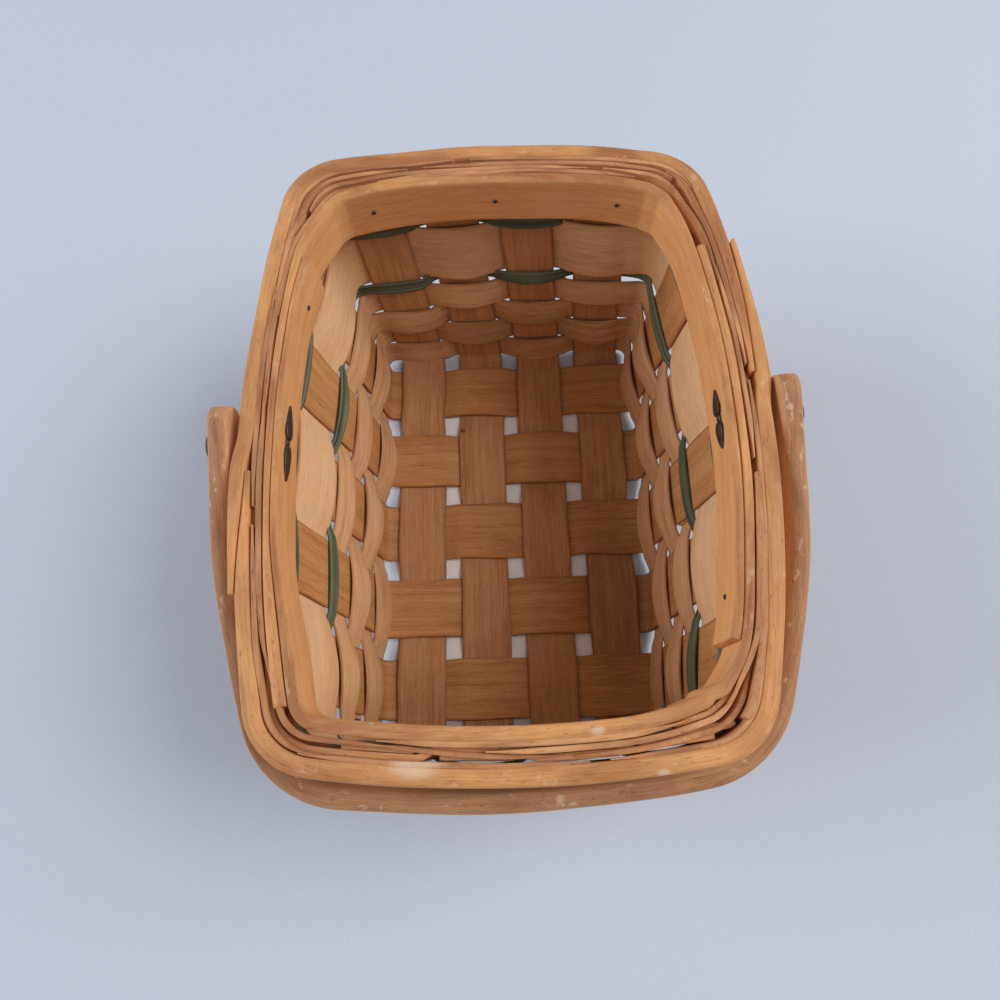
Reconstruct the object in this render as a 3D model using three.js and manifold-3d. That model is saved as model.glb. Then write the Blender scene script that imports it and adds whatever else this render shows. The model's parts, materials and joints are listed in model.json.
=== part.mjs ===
// Splint gathering basket with a swing handle.
// Millimetres, +Z up, +X to the right, -Y towards the side that the handle is folded on.

import * as THREE from 'three';
import { mergeVertices } from 'three/addons/utils/BufferGeometryUtils.js';
import Module from 'manifold-3d';

const wasm = await Module();
wasm.setup();

// Splints
const STAKE_T = 1.2; // thickness of the stakes
const WEAVER_T = 0.9; // thickness of the wooden weavers
const GREEN_T = 1.4; // thickness of the green reed
const WEAVE_GAP = 0.3; // clearance between splints that cross
const PASS_MARGIN = 0.5; // how far a splint runs flat past the edge of the one it crosses
const BULGE = 1.2; // how far a weaver stands off the middle of a stake

// Stakes: the long ones run along Y, the cross ones along X
const LONG_STAKES = 4;
const LONG_W = 22;
const LONG_GAP = 7.3;
const CROSS_STAKES = 5;
const CROSS_W = 26.6;
const CROSS_GAP = 9.9;
const SIDE_EDGE = 6; // outer long stake to the side wall
const END_EDGE = 7.7; // outer cross stake to the end wall
const BEND_REACH = 3.5; // length of base and wall that the bend at the base takes up
const FAR_LEAN = -3.6; // the far stakes lean sideways by this much, base to rim
const FAR_FAN = 1.5; // and spread apart by this much each
const NEAR_LEAN = 4.5; // lean of the near stakes
const LEFT_LEAN = 2.5; // and of the left ones

// Walls
const HEIGHT = 116;
const SIDE_FLARE = 21.8; // side wall, base to rim
const LEFT_PRESS = 2.2; // how far the left side is pressed in at its middle
const END_FLARE = 12.8; // end wall, base to rim
const BASE_LEAN_X = 5; // the hand-woven base sits this far off the middle of the rim
const BASE_LEAN_Y = -6;
const BASE_CORNER_R = 9;
const RIM_CORNER_R = 16.5;
const BASE_BOW_R = 4000; // the base edges are almost straight
const SIDE_BOW_R = 386; // the rim is bowed along its sides
const END_BOW_R = 411; // and its ends

// Weaver rows
const FIRST_ROW_Z = 4.6;
const ROW_GAP = 0.5;
const NARROW_H = 11.5;
const GREEN_H = 5;
const GREEN_DROP = 8; // foot of the upper green reed below the bands
const WIDE_H = 27.2;

// Rim bands
const BAND_H = 22;
const OUTER_T = 5; // thickness of the outer bands
const INNER_T = 3.8; // and of the inner ones, which lie double along the sides
const RIM_CLEAR = 0.3; // weave to band
const KINK_DROP = 2; // the wall turns upright this far under the bands
const KINK_EASE = 1.5; // half height of that turn
const STAKE_TOP_DROP = 0.8; // stake ends below the top of the bands
const SCARF_END_T = 1.5; // thickness that the outer bands are shaved to at their ends
const OUTER_RAMP = 14; // run in which an outer band climbs onto its lap
const INNER_RAMP = 26; // run in which an inner band drops back to its lap
const FIT_GAP = 0.3; // between pieces that touch
const OUTER_RIGHT_LAP = [15, 67]; // counter-clockwise along the rim from the middle of the right side
const OUTER_LEFT_LAP = [15, 55]; // and of the left side
const INNER_RIGHT_LAP = [-76, 67];
const INNER_LEFT_LAP = [-68, 92];

// Brads through the inner band
const BRAD_R = 0.7;
const BRAD_HEAD_R = 1.4;
const BRAD_HEAD_T = 0.6;
const BRAD_SPREAD = 48; // distance from the middle of an end
const BRAD_INSET = 15; // distance from the end of an inner lap

// Handle
const HANDLE_T = 7;
const HANDLE_W = 17;
const HANDLE_CHAMFER = 1.6;
const HANDLE_CLEAR = 1.2; // arm to the lapped outer band, at the pivot
const HANDLE_SPREAD = 1.7; // how far the arms draw away from the rim
const SPREAD_RUN = 50; // over this length past the pivot
const HANDLE_TAIL = 13; // arm past the pivot
const TAIL_CORNER_R = 6;
const PIVOT_DROP = 8; // pivot below the top of the rim
const PIVOT_SHIFT = -1; // pivot line off the middle of the rim
const PIVOT_SKEW = THREE.MathUtils.degToRad(1.7); // the left rivet sits nearer than the right one
const FOLD_ANGLE = THREE.MathUtils.degToRad(16); // droop of the folded handle

// Split rivets
const SHANK_R = 2.2;
const RIVET_HEAD_R = 5;
const RIVET_HEAD_T = 2.2;
const LEG_LENGTH = 13;
const LEG_W = 3.4;
const LEG_TIP_W = 1.4;
const LEG_T = 1.2;

// Facets
const CORNER_STEPS = 5;
const BOW_STEP = 18; // length of a facet along a bowed side
const WALL_STEPS = 8; // facets of a stake up the wall, which twists as the wall bows
const ROUND_SEGMENTS = 12;

// Derived sizes
const LONG_PITCH = LONG_W + LONG_GAP;
const CROSS_PITCH = CROSS_W + CROSS_GAP;
const BASE_HALF_X = (LONG_STAKES * LONG_PITCH - LONG_GAP) / 2 + SIDE_EDGE;
const BASE_HALF_Y = (CROSS_STAKES * CROSS_PITCH - CROSS_GAP) / 2 + END_EDGE;
const WALL_TOP = HEIGHT - BAND_H - KINK_DROP;
const STAKE_TOP = HEIGHT - STAKE_TOP_DROP;
const BASE_LIFT = (STAKE_T + WEAVE_GAP) / 2;
const BASE_MID = BASE_LIFT + STAKE_T / 2;
const BAND_NEAR = STAKE_T / 2 + WEAVE_GAP + WEAVER_T + RIM_CLEAR;
const INNER_FACE = BAND_NEAR + 2 * INNER_T + FIT_GAP;
const HANDLE_NEAR = BAND_NEAR + OUTER_T + SCARF_END_T + FIT_GAP + HANDLE_CLEAR;
const HANDLE_MID = HANDLE_NEAR + HANDLE_T / 2;
const HANDLE_FAR = HANDLE_NEAR + HANDLE_T;
const PIVOT_Z = HEIGHT - PIVOT_DROP;

// Rows hang from the rim down, and as many narrow ones as fit fill the wall below them
const UPPER_GREEN_Z = HEIGHT - BAND_H - GREEN_DROP;
const RIM_WEAVER_Z = WALL_TOP + KINK_EASE;
const WIDE_Z = UPPER_GREEN_Z - ROW_GAP - WIDE_H;
const LOWER_GREEN_Z = WIDE_Z - ROW_GAP - GREEN_H;
const NARROW_SPACE = LOWER_GREEN_Z - FIRST_ROW_Z;
const NARROW_ROWS = Math.floor((NARROW_SPACE + ROW_GAP) / (NARROW_H + ROW_GAP));
const NARROW_PITCH = NARROW_SPACE / NARROW_ROWS;

const mix = THREE.MathUtils.lerp;
const vec = (x, y, z) => new THREE.Vector3(x, y, z);
const rise = (z) => Math.min(z / WALL_TOP, 1);

// Wall outline at one height: eight tangent arcs, measured counter-clockwise
// along their length from the middle of the right side.
function outlineAt(z) {
  const g = rise(z);
  const a = BASE_HALF_X + SIDE_FLARE * g;
  const b = BASE_HALF_Y + END_FLARE * g;
  const r = mix(BASE_CORNER_R, RIM_CORNER_R, g);
  const rx = 1 / mix(1 / BASE_BOW_R, 1 / SIDE_BOW_R, g);
  const ry = 1 / mix(1 / BASE_BOW_R, 1 / END_BOW_R, g);
  const side = new THREE.Vector2(a - rx, 0);
  const end = new THREE.Vector2(0, b - ry);
  const corner = circlesMeet(side, rx - r, end, ry - r);
  const alpha = Math.atan2(corner.y, corner.x - side.x);
  const beta = Math.atan2(corner.x, corner.y - end.y);
  const arcs = [];
  let length = 0;
  const arc = (cx, cy, radius, from, to) => {
    arcs.push({ cx, cy, radius, from, start: length, length: radius * (to - from) });
    length += radius * (to - from);
  };
  const half = Math.PI / 2;
  arc(side.x, 0, rx, 0, alpha);
  arc(corner.x, corner.y, r, alpha, half - beta);
  arc(0, end.y, ry, half - beta, half + beta);
  arc(-corner.x, corner.y, r, half + beta, 2 * half - alpha);
  arc(-side.x, 0, rx, 2 * half - alpha, 2 * half + alpha);
  arc(-corner.x, -corner.y, r, 2 * half + alpha, 3 * half - beta);
  arc(0, -end.y, ry, 3 * half - beta, 3 * half + beta);
  arc(corner.x, -corner.y, r, 3 * half + beta, 4 * half - alpha);
  arc(side.x, 0, rx, 4 * half - alpha, 4 * half);
  const lean = new THREE.Vector2(BASE_LEAN_X, BASE_LEAN_Y).multiplyScalar(1 - g);
  return { arcs, length, rx, ry, lean };
}

function circlesMeet(p, rp, q, rq) {
  const d = p.distanceTo(q);
  const along = (d * d + rp * rp - rq * rq) / (2 * d);
  const off = Math.sqrt(rp * rp - along * along);
  const dir = q.clone().sub(p).divideScalar(d);
  const foot = p.clone().addScaledVector(dir, along);
  return foot.add(new THREE.Vector2(-dir.y, dir.x).multiplyScalar(off));
}

const outlineCache = new Map();

function outline(z) {
  const key = Math.min(z, WALL_TOP);
  if (!outlineCache.has(key)) outlineCache.set(key, outlineAt(key));
  return outlineCache.get(key);
}

// Point at arc length s, a distance out from the middle of the wall, at height z
function place(s, out, z) {
  const line = outline(z);
  const t = THREE.MathUtils.euclideanModulo(s, line.length);
  const arc = line.arcs.findLast((item) => t >= item.start);
  const angle = arc.from + (t - arc.start) / arc.radius;
  const r = arc.radius + out;
  const x = arc.cx + r * Math.cos(angle) + line.lean.x;
  const y = arc.cy + r * Math.sin(angle) + line.lean.y;
  return vec(x + pressedIn(x, y, z), y, z);
}

// Push on the left side, fading to nothing at its corners and at the base
function pressedIn(x, y, z) {
  const onSide = THREE.MathUtils.clamp(-x / BASE_HALF_X, 0, 1);
  const fromCorner = Math.max(1 - (y / BASE_HALF_Y) ** 2, 0);
  return LEFT_PRESS * onSide * fromCorner * rise(z);
}

// Arc length of a place on each wall, at height z
const onRight = (y, z) => outline(z).rx * Math.asin(y / outline(z).rx);
const onFar = (x, z) => outline(z).length / 4 - outline(z).ry * Math.asin(x / outline(z).ry);
const onLeft = (y, z) => outline(z).length / 2 - onRight(y, z);
const onNear = (x, z) => outline(z).length * 3 / 4 + outline(z).ry * Math.asin(x / outline(z).ry);

// Closed solid through rings of points, with flat ends
function loft(rings) {
  const n = rings[0].length;
  const positions = rings.flat().flatMap((p) => [p.x, p.y, p.z]);
  const index = [];
  for (let i = 0; i + 1 < rings.length; i += 1) {
    for (let j = 0; j < n; j += 1) {
      const a = i * n + j;
      const b = i * n + (j + 1) % n;
      index.push(a, b, b + n, a, b + n, a + n);
    }
  }
  const last = (rings.length - 1) * n;
  for (let j = 1; j + 1 < n; j += 1) {
    index.push(0, j + 1, j);
    index.push(last, last + j, last + j + 1);
  }
  const geometry = new THREE.BufferGeometry();
  geometry.setAttribute('position', new THREE.Float32BufferAttribute(positions, 3));
  geometry.setIndex(index);
  return geometry;
}

// Strip of wood between two edge curves. Each station has its edge points a and b
// and its thickness t; a chamfer takes the corners off the section.
function ribbon(stations, chamfer = 0) {
  const middle = stations.map((st) => st.a.clone().add(st.b).multiplyScalar(0.5));
  const rings = stations.map((st, i) => {
    const before = middle[Math.max(i - 1, 0)];
    const after = middle[Math.min(i + 1, stations.length - 1)];
    const across = st.b.clone().sub(st.a);
    const half = across.length() / 2;
    across.normalize();
    const up = after.clone().sub(before).cross(across).normalize();
    const point = (w, h) => middle[i].clone().addScaledVector(across, w).addScaledVector(up, h);
    const h = st.t / 2;
    if (!chamfer) return [point(-half, -h), point(half, -h), point(half, h), point(-half, h)];
    const c = Math.min(chamfer, half * 0.6);
    const corners = [[-half + c, -h], [half - c, -h], [half, -h + c], [half, h - c]];
    return [...corners, ...corners.map(([w, k]) => [-w, -k])].map(([w, k]) => point(w, k));
  });
  return loft(rings);
}

// Joins and cuts
function toManifold(geometry) {
  const plain = geometry.clone();
  plain.deleteAttribute('normal');
  plain.deleteAttribute('uv');
  const merged = mergeVertices(plain, 1e-4);
  return new wasm.Manifold(new wasm.Mesh({
    numProp: 3,
    vertProperties: new Float32Array(merged.attributes.position.array),
    triVerts: new Uint32Array(merged.index.array),
  }));
}

function fromManifold(solid) {
  const mesh = solid.getMesh();
  const geometry = new THREE.BufferGeometry();
  geometry.setAttribute('position', new THREE.Float32BufferAttribute(mesh.vertProperties, 3));
  geometry.setIndex([...mesh.triVerts]);
  return geometry;
}

function cut(geometry, tools) {
  return fromManifold(tools.reduce((solid, tool) => solid.subtract(toManifold(tool)), toManifold(geometry)));
}

function join(geometries) {
  return fromManifold(geometries.map(toManifold).reduce((sum, part) => sum.add(part)));
}

// Round bar along X between two places
function barAlongX(radius, x0, x1) {
  const bar = new THREE.CylinderGeometry(radius, radius, x1 - x0, ROUND_SEGMENTS);
  return bar.rotateZ(-Math.PI / 2).translate((x0 + x1) / 2, 0, 0);
}

// The pivot line: its own X axis runs through both rivets
const pivotLine = new THREE.Matrix4().makeRotationZ(PIVOT_SKEW).setPosition(0, PIVOT_SHIFT, PIVOT_Z);
const pivotHole = () => barAlongX(SHANK_R + FIT_GAP, -2 * BASE_HALF_X, 2 * BASE_HALF_X);
const rivetHole = () => pivotHole().applyMatrix4(pivotLine);

// Middles of the stakes, on the base and along each wall at height z
const longX = (i) => (i - (LONG_STAKES - 1) / 2) * LONG_PITCH;
const crossY = (j) => ((CROSS_STAKES - 1) / 2 - j) * CROSS_PITCH;
const longs = [...Array(LONG_STAKES).keys()];
const crosses = [...Array(CROSS_STAKES).keys()];
const farX = (i, z) => longX(i) + (FAR_LEAN + FAR_FAN * (i - (LONG_STAKES - 1) / 2)) * rise(z);
const nearX = (i, z) => longX(i) + NEAR_LEAN * rise(z);
const leftY = (j, z) => crossY(j) + LEFT_LEAN * rise(z);

// The eighteen uprights in order round the wall, from the near end of the right side
const upright = (wall, width, at) => ({ wall, half: width / 2, at });
const uprights = [
  ...crosses.toReversed().map((j) => upright('right', CROSS_W, (z) => onRight(crossY(j), z))),
  ...longs.toReversed().map((i) => upright('far', LONG_W, (z) => onFar(farX(i, z), z))),
  ...crosses.map((j) => upright('left', CROSS_W, (z) => onLeft(leftY(j, z), z))),
  ...longs.map((i) => upright('near', LONG_W, (z) => onNear(nearX(i, z), z))),
];

// Upright k, counted on past one turn of the wall
function uprightAt(k) {
  const turn = Math.floor(k / uprights.length);
  const item = uprights[k - turn * uprights.length];
  return { ...item, at: (z) => item.at(z) + turn * outline(z).length };
}

// Stakes: down one wall, over and under the base, up the other wall
function stake(edges) {
  const lines = edges.map((edge) => {
    const first = wallLine(edge.firstWall, edge.levels[0], edge.inward);
    const last = wallLine(edge.lastWall, edge.levels.at(-1), edge.inward.clone().negate());
    return [...first, ...edge.base, ...last.reverse()];
  });
  return ribbon(lines[0].map((a, i) => ({ a, b: lines[1][i], t: STAKE_T })));
}

// One edge of a stake from its top end to the start of the base
function wallLine(at, level, inward) {
  const low = level + BEND_REACH;
  const steps = [...Array(WALL_STEPS).keys()];
  const slope = steps.map((n) => mix(WALL_TOP - KINK_EASE, low, n / WALL_STEPS));
  const heights = [STAKE_TOP, WALL_TOP + KINK_EASE, ...slope];
  const foot = place(at(level), 0, level);
  const start = place(at(low), 0, low);
  const end = foot.clone().addScaledVector(inward, BEND_REACH);
  const bend = new THREE.QuadraticBezierCurve3(start, foot, end);
  return [...heights.map((z) => place(at(z), 0, z)), ...bend.getPoints(4)];
}

// Base run of one edge: flat over each crossing, level above or below the middle
function baseRun(crossings, half, over, toPoint) {
  return crossings.flatMap((c, n) => {
    const level = BASE_MID + (over(n) ? BASE_LIFT : -BASE_LIFT);
    const reach = half + PASS_MARGIN;
    return [toPoint(c - reach, level), toPoint(c + reach, level)];
  });
}

function longStake(i) {
  const over = (n) => (i + CROSS_STAKES - 1 - n) % 2 === 0;
  const edges = [-LONG_W / 2, LONG_W / 2].map((e) => {
    const x = longX(i) + e;
    const toPoint = (y, z) => vec(x + BASE_LEAN_X, y + BASE_LEAN_Y, z);
    const base = baseRun(crosses.map(crossY).reverse(), CROSS_W / 2, over, toPoint);
    return {
      firstWall: (z) => onNear(nearX(i, z) + e, z),
      lastWall: (z) => onFar(farX(i, z) + e, z),
      inward: vec(0, 1, 0),
      levels: base.map((p) => p.z),
      base,
    };
  });
  return stake(edges);
}

function crossStake(j) {
  const over = (n) => (n + j) % 2 === 1;
  const edges = [CROSS_W / 2, -CROSS_W / 2].map((e) => {
    const y = crossY(j) + e;
    const toPoint = (x, z) => vec(x + BASE_LEAN_X, y + BASE_LEAN_Y, z);
    const base = baseRun(longs.map(longX), LONG_W / 2, over, toPoint);
    return {
      firstWall: (z) => onLeft(leftY(j, z) + e, z),
      lastWall: (z) => onRight(y, z),
      inward: vec(1, 0, 0),
      levels: base.map((p) => p.z),
      base,
    };
  });
  return stake(edges);
}

// Weavers: in front of one upright and behind the next, all the way round.
// A lapped weaver ends on top of its own start, on the outside of upright lapAt;
// one held in the rim stops short of that upright at both ends.
function weaver(row, r) {
  const over = (row.t + STAKE_T) / 2 + WEAVE_GAP;
  const outward = (k) => ((k + r) % 2 === 0 ? 1 : -1);
  const first = row.lapped ? row.lapAt : row.lapAt + 1;
  const last = row.lapAt + uprights.length - (row.lapped ? 0 : 1);
  const second = row.t + WEAVE_GAP;
  const offset = (k) => outward(k) * over + (row.lapped && k === last ? second : 0);
  const stations = [];
  const add = (at, out) => {
    const edge = (z) => place(at(z), out, z);
    stations.push({ a: edge(row.z0), b: edge(row.z1), t: row.t });
  };
  for (let k = first; k <= last; k += 1) {
    const here = uprightAt(k);
    const reach = here.half + PASS_MARGIN;
    const free = row.lapped && (k === first || k === last) ? 0 : row.bulge;
    add((z) => here.at(z) - reach, offset(k));
    add((z) => here.at(z), offset(k) + outward(k) * free);
    add((z) => here.at(z) + reach, offset(k));
    if (k === last) break;
    const next = uprightAt(k + 1);
    const nextReach = next.half + PASS_MARGIN;
    const steps = next.wall === here.wall ? 1 : CORNER_STEPS;
    for (let n = 1; n <= steps; n += 1) {
      const f = n / (steps + 1);
      const out = mix(offset(k), offset(k + 1), THREE.MathUtils.smoothstep(f, 0, 1));
      add((z) => mix(here.at(z) + reach, next.at(z) - nextReach, f), out);
    }
  }
  return ribbon(stations);
}

// Rim: stops along the rim outline between two arc lengths
function rimStops(from, to, extra = []) {
  const line = outline(HEIGHT);
  const stops = [from, to, ...extra];
  for (let turn = -1; turn <= 1; turn += 1) {
    for (const arc of line.arcs) {
      const steps = arc.radius > RIM_CORNER_R ? Math.ceil(arc.length / BOW_STEP) : CORNER_STEPS;
      for (let n = 0; n < steps; n += 1) stops.push(turn * line.length + arc.start + arc.length * n / steps);
    }
  }
  const inside = stops.filter((s) => s >= from && s <= to).sort((p, q) => p - q);
  return inside.filter((s, i) => i === 0 || s - inside[i - 1] > FIT_GAP);
}

// Rim bands: two half hoops inside the weave and two outside. The outer ones are scarfed,
// thick over thin, where they lap. The inner ones lie whole on each other along the sides, and
// each stands off the weave round its end of the basket.
const outerBand = {
  face: 1,
  t: OUTER_T,
  endT: SCARF_END_T,
  laps: [OUTER_RIGHT_LAP, OUTER_LEFT_LAP],
  ramp: OUTER_RAMP,
  startsUnder: true,
};
const innerBand = {
  face: -1,
  t: INNER_T,
  endT: INNER_T,
  laps: [INNER_RIGHT_LAP, INNER_LEFT_LAP],
  ramp: INNER_RAMP,
  startsUnder: false,
};

// A half hoop starts in one lap, under or over the other half, and ends in the opposite lap
// the other way. Turn 0 is the far half, which starts on the right, and 1 is the near half.
function halfHoop(band, turn) {
  const { t, endT, startsUnder } = band;
  const halfway = outline(HEIGHT).length / 2;
  const [startLap, endLap] = turn ? band.laps.toReversed() : band.laps;
  const rampFrom = halfway + endLap[0] - band.ramp;
  const through = (s, lap) => (s - lap[0]) / (lap[1] - lap[0]);
  const section = (s) => {
    const q0 = through(s, startLap);
    const q1 = through(s - halfway, endLap);
    if (q0 <= 1) {
      const thick = mix(endT, t, q0);
      return [thick, startsUnder ? 0 : t + endT - thick + FIT_GAP];
    }
    if (q1 >= 0) {
      const thick = mix(t, endT, q1);
      return [thick, startsUnder ? t + endT - thick + FIT_GAP : 0];
    }
    const climb = THREE.MathUtils.clamp((s - rampFrom) / band.ramp, 0, 1);
    return [t, (endT + FIT_GAP) * (startsUnder ? climb : 1 - climb)];
  };
  const breaks = [startLap[1], rampFrom, rampFrom + band.ramp / 2, halfway + endLap[0]];
  const stations = rimStops(startLap[0], halfway + endLap[1], breaks).map((s) => {
    const [thick, lift] = section(s);
    const out = band.face * (BAND_NEAR + lift + thick / 2);
    const edge = (z) => place(s + turn * halfway, out, z);
    return { a: edge(HEIGHT - BAND_H), b: edge(HEIGHT), t: thick };
  });
  return ribbon(stations);
}

// Brads: turned pins seated on the inner face of the inner band, and through both bands of a lap
const halfRim = outline(HEIGHT).length / 2;
const bradPlaces = [
  ...[-BRAD_SPREAD, 0, BRAD_SPREAD].flatMap((x) => [onFar(x, HEIGHT), onNear(x, HEIGHT)]),
  INNER_RIGHT_LAP[0] + BRAD_INSET,
  halfRim + INNER_LEFT_LAP[0] + BRAD_INSET,
];

function atBrad(geometry, s) {
  const foot = place(s, -INNER_FACE, HEIGHT - BAND_H / 2);
  const out = place(s, 0, HEIGHT - BAND_H / 2).sub(foot).normalize();
  const turn = new THREE.Quaternion().setFromUnitVectors(vec(0, 1, 0), out);
  return geometry.applyQuaternion(turn).translate(foot.x, foot.y, foot.z);
}

function brad(s) {
  const length = INNER_FACE - BAND_NEAR;
  const profile = [
    [0, -FIT_GAP - BRAD_HEAD_T],
    [BRAD_HEAD_R, -FIT_GAP - BRAD_HEAD_T / 2],
    [BRAD_HEAD_R, -FIT_GAP],
    [BRAD_R, -FIT_GAP],
    [BRAD_R, length - BRAD_R],
    [0, length],
  ];
  return atBrad(new THREE.LatheGeometry(profile.map(([x, y]) => new THREE.Vector2(x, y)), 8), s);
}

function bradHole(s) {
  return atBrad(new THREE.CylinderGeometry(BRAD_R + FIT_GAP, BRAD_R + FIT_GAP, 2 * INNER_FACE, 8), s);
}

// Handle: a bow that follows the rim outside its laps, built flat about its pivot axis
function handleBow() {
  const line = outline(HEIGHT);
  const halfway = line.length / 2;
  const tail = onRight(HANDLE_TAIL, HEIGHT);
  const round = [0, 1, 2].map((n) => TAIL_CORNER_R * (1 - Math.sin((n * Math.PI) / 6)));
  const ends = round.flatMap((d) => [tail - d, -halfway - tail + d]);
  const turns = [0, -SPREAD_RUN, SPREAD_RUN - halfway, -halfway];
  const stations = rimStops(-halfway - tail, tail, [...ends, ...turns]).map((s) => {
    const toEnd = Math.min(tail - s, s + halfway + tail);
    const drop = Math.max(TAIL_CORNER_R - toEnd, 0);
    const half = HANDLE_W / 2 - TAIL_CORNER_R + Math.sqrt(TAIL_CORNER_R ** 2 - drop ** 2);
    const run = THREE.MathUtils.clamp(Math.min(-s, s + halfway) / SPREAD_RUN, 0, 1);
    const middle = place(s, HANDLE_MID + HANDLE_SPREAD * run, HEIGHT).setZ(0);
    return { a: middle.clone().setZ(-half), b: middle.clone().setZ(half), t: HANDLE_T };
  });
  return ribbon(stations, HANDLE_CHAMFER);
}

// Split rivet: domed head outside an arm, two legs clinched along the inner band.
// side is 1 at the right arm and -1 at the left one.
function rivet(side) {
  const wall = place(0, 0, HEIGHT).x;
  const headX = wall + HANDLE_FAR + FIT_GAP;
  const legX = wall - INNER_FACE - FIT_GAP - LEG_T / 2;
  const dome = new THREE.EllipseCurve(0, 0, RIVET_HEAD_R, RIVET_HEAD_T, 0, Math.PI / 2).getPoints(4);
  const head = new THREE.LatheGeometry([new THREE.Vector2(0, 0), ...dome], ROUND_SEGMENTS);
  head.rotateZ(-Math.PI / 2).translate(headX, 0, 0);
  const shank = barAlongX(SHANK_R, legX, headX + RIVET_HEAD_T / 2);
  const pin = join([head, shank]);
  if (side < 0) pin.rotateZ(Math.PI).translate(LEFT_PRESS, 0, 0);
  pin.applyMatrix4(pivotLine);
  const y = PIVOT_SHIFT + side * legX * Math.tan(PIVOT_SKEW);
  const s = side > 0 ? onRight(y, HEIGHT) : onLeft(y, HEIGHT);
  return join([pin, rivetLeg(s, 1), rivetLeg(s, -1)]);
}

function rivetLeg(s, way) {
  const out = -INNER_FACE - FIT_GAP - LEG_T / 2;
  const steps = [0, 0.25, 0.6, 0.85, 1];
  const stations = steps.map((f) => {
    const middle = place(s + way * LEG_LENGTH * f, out, HEIGHT).setZ(PIVOT_Z);
    const half = mix(LEG_W, LEG_TIP_W, f ** 2) / 2;
    return { a: middle.clone().setZ(PIVOT_Z - half), b: middle.clone().setZ(PIVOT_Z + half), t: LEG_T };
  });
  return ribbon(stations);
}

// Colours
const wood = (color) => new THREE.MeshStandardMaterial({ color, roughness: 0.72, metalness: 0 });
const STAKE_WOOD = 0xa56e3c;
const WEAVER_WOOD = 0xb47d4e;
const WIDE_WOOD = 0xd2a57d;
const GREEN_REED = 0x555f4b;
const BAND_WOOD = 0xcd9b69;
const HANDLE_WOOD = 0xa57855;
const steel = () => new THREE.MeshStandardMaterial({ color: 0x3c3737, roughness: 0.5, metalness: 0.8 });

// Rows, from the rim down, so that the weave meets the rim alike however many narrow rows fit.
// Their laps lie on the left and right sides in turn; the row held in the rim has none.
const FIRST_LEFT = CROSS_STAKES + LONG_STAKES;
const lapUpright = (r) => (r % 2 ? FIRST_LEFT : 0) + (r % 4 < 2 ? 2 : 0);
const woodRow = { t: WEAVER_T, bulge: BULGE, lapped: true };
const plainRow = (name, z0, h, color) => ({ ...woodRow, name, z0, z1: z0 + h, color });
const greenRow = (name, z0) => ({ ...plainRow(name, z0, GREEN_H, GREEN_REED), t: GREEN_T });
const narrowZ = (n) => FIRST_ROW_Z + n * NARROW_PITCH;
const narrowRow = (n) => plainRow(`narrow_weaver_${n + 1}`, narrowZ(n), NARROW_H, WEAVER_WOOD);
const inRim = (row) => ({ ...row, lapAt: 0, lapped: false, bulge: 0 });
const rows = [
  inRim(plainRow('rim_weaver', RIM_WEAVER_Z, STAKE_TOP - RIM_WEAVER_Z, WEAVER_WOOD)),
  greenRow('upper_green_weaver', UPPER_GREEN_Z),
  plainRow('wide_weaver', WIDE_Z, WIDE_H, WIDE_WOOD),
  greenRow('lower_green_weaver', LOWER_GREEN_Z),
  ...[...Array(NARROW_ROWS).keys()].toReversed().map(narrowRow),
].map((row, r) => ({ lapAt: lapUpright(r), ...row }));

// Assembly
const basket = new THREE.Group();
const add = (name, geometry, material) => {
  const flat = geometry.index ? geometry.toNonIndexed() : geometry;
  flat.computeVertexNormals();
  const mesh = new THREE.Mesh(flat, material);
  mesh.name = name;
  basket.add(mesh);
  return mesh;
};

const pivotStake = (CROSS_STAKES - 1) / 2;
longs.forEach((i) => add(`long_stake_${i + 1}`, longStake(i), wood(STAKE_WOOD)));
crosses.forEach((j) => {
  const strip = crossStake(j);
  add(`cross_stake_${j + 1}`, j === pivotStake ? cut(strip, [rivetHole()]) : strip, wood(STAKE_WOOD));
});
rows.forEach((row, r) => {
  const strip = weaver(row, r);
  const held = row.z1 > PIVOT_Z;
  add(row.name, held ? cut(strip, [rivetHole()]) : strip, wood(row.color));
});
const bradHoles = bradPlaces.map(bradHole);
['far', 'near'].forEach((name, turn) => {
  add(`outer_rim_${name}_half`, cut(halfHoop(outerBand, turn), [rivetHole()]), wood(BAND_WOOD));
  add(`inner_rim_${name}_half`, cut(halfHoop(innerBand, turn), [rivetHole(), ...bradHoles]), wood(BAND_WOOD));
});
bradPlaces.forEach((spot, n) => add(`rim_brad_${n + 1}`, brad(spot), steel()));
add('right_rivet', rivet(1), steel());
add('left_rivet', rivet(-1), steel());
const handle = add('handle', cut(handleBow(), [pivotHole()]), wood(HANDLE_WOOD));
handle.position.set(0, PIVOT_SHIFT, PIVOT_Z);
handle.rotation.set(FOLD_ANGLE, 0, PIVOT_SKEW, 'ZXY');

// The frame's origin is under the middle of the whole object
const bounds = new THREE.Box3().setFromObject(basket, true);
basket.position.y = -(bounds.min.y + bounds.max.y) / 2;
basket.position.x = -(bounds.min.x + bounds.max.x) / 2;

export default basket;
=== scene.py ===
"""Splint gathering basket with a swing handle: its looks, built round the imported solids.
Sizes are in millimetres until a mesh is made; the scene is in metres, +Z up."""

import functools
import json
import math
import random

import bpy
import numpy as np
from mathutils import Matrix, Vector


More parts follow.
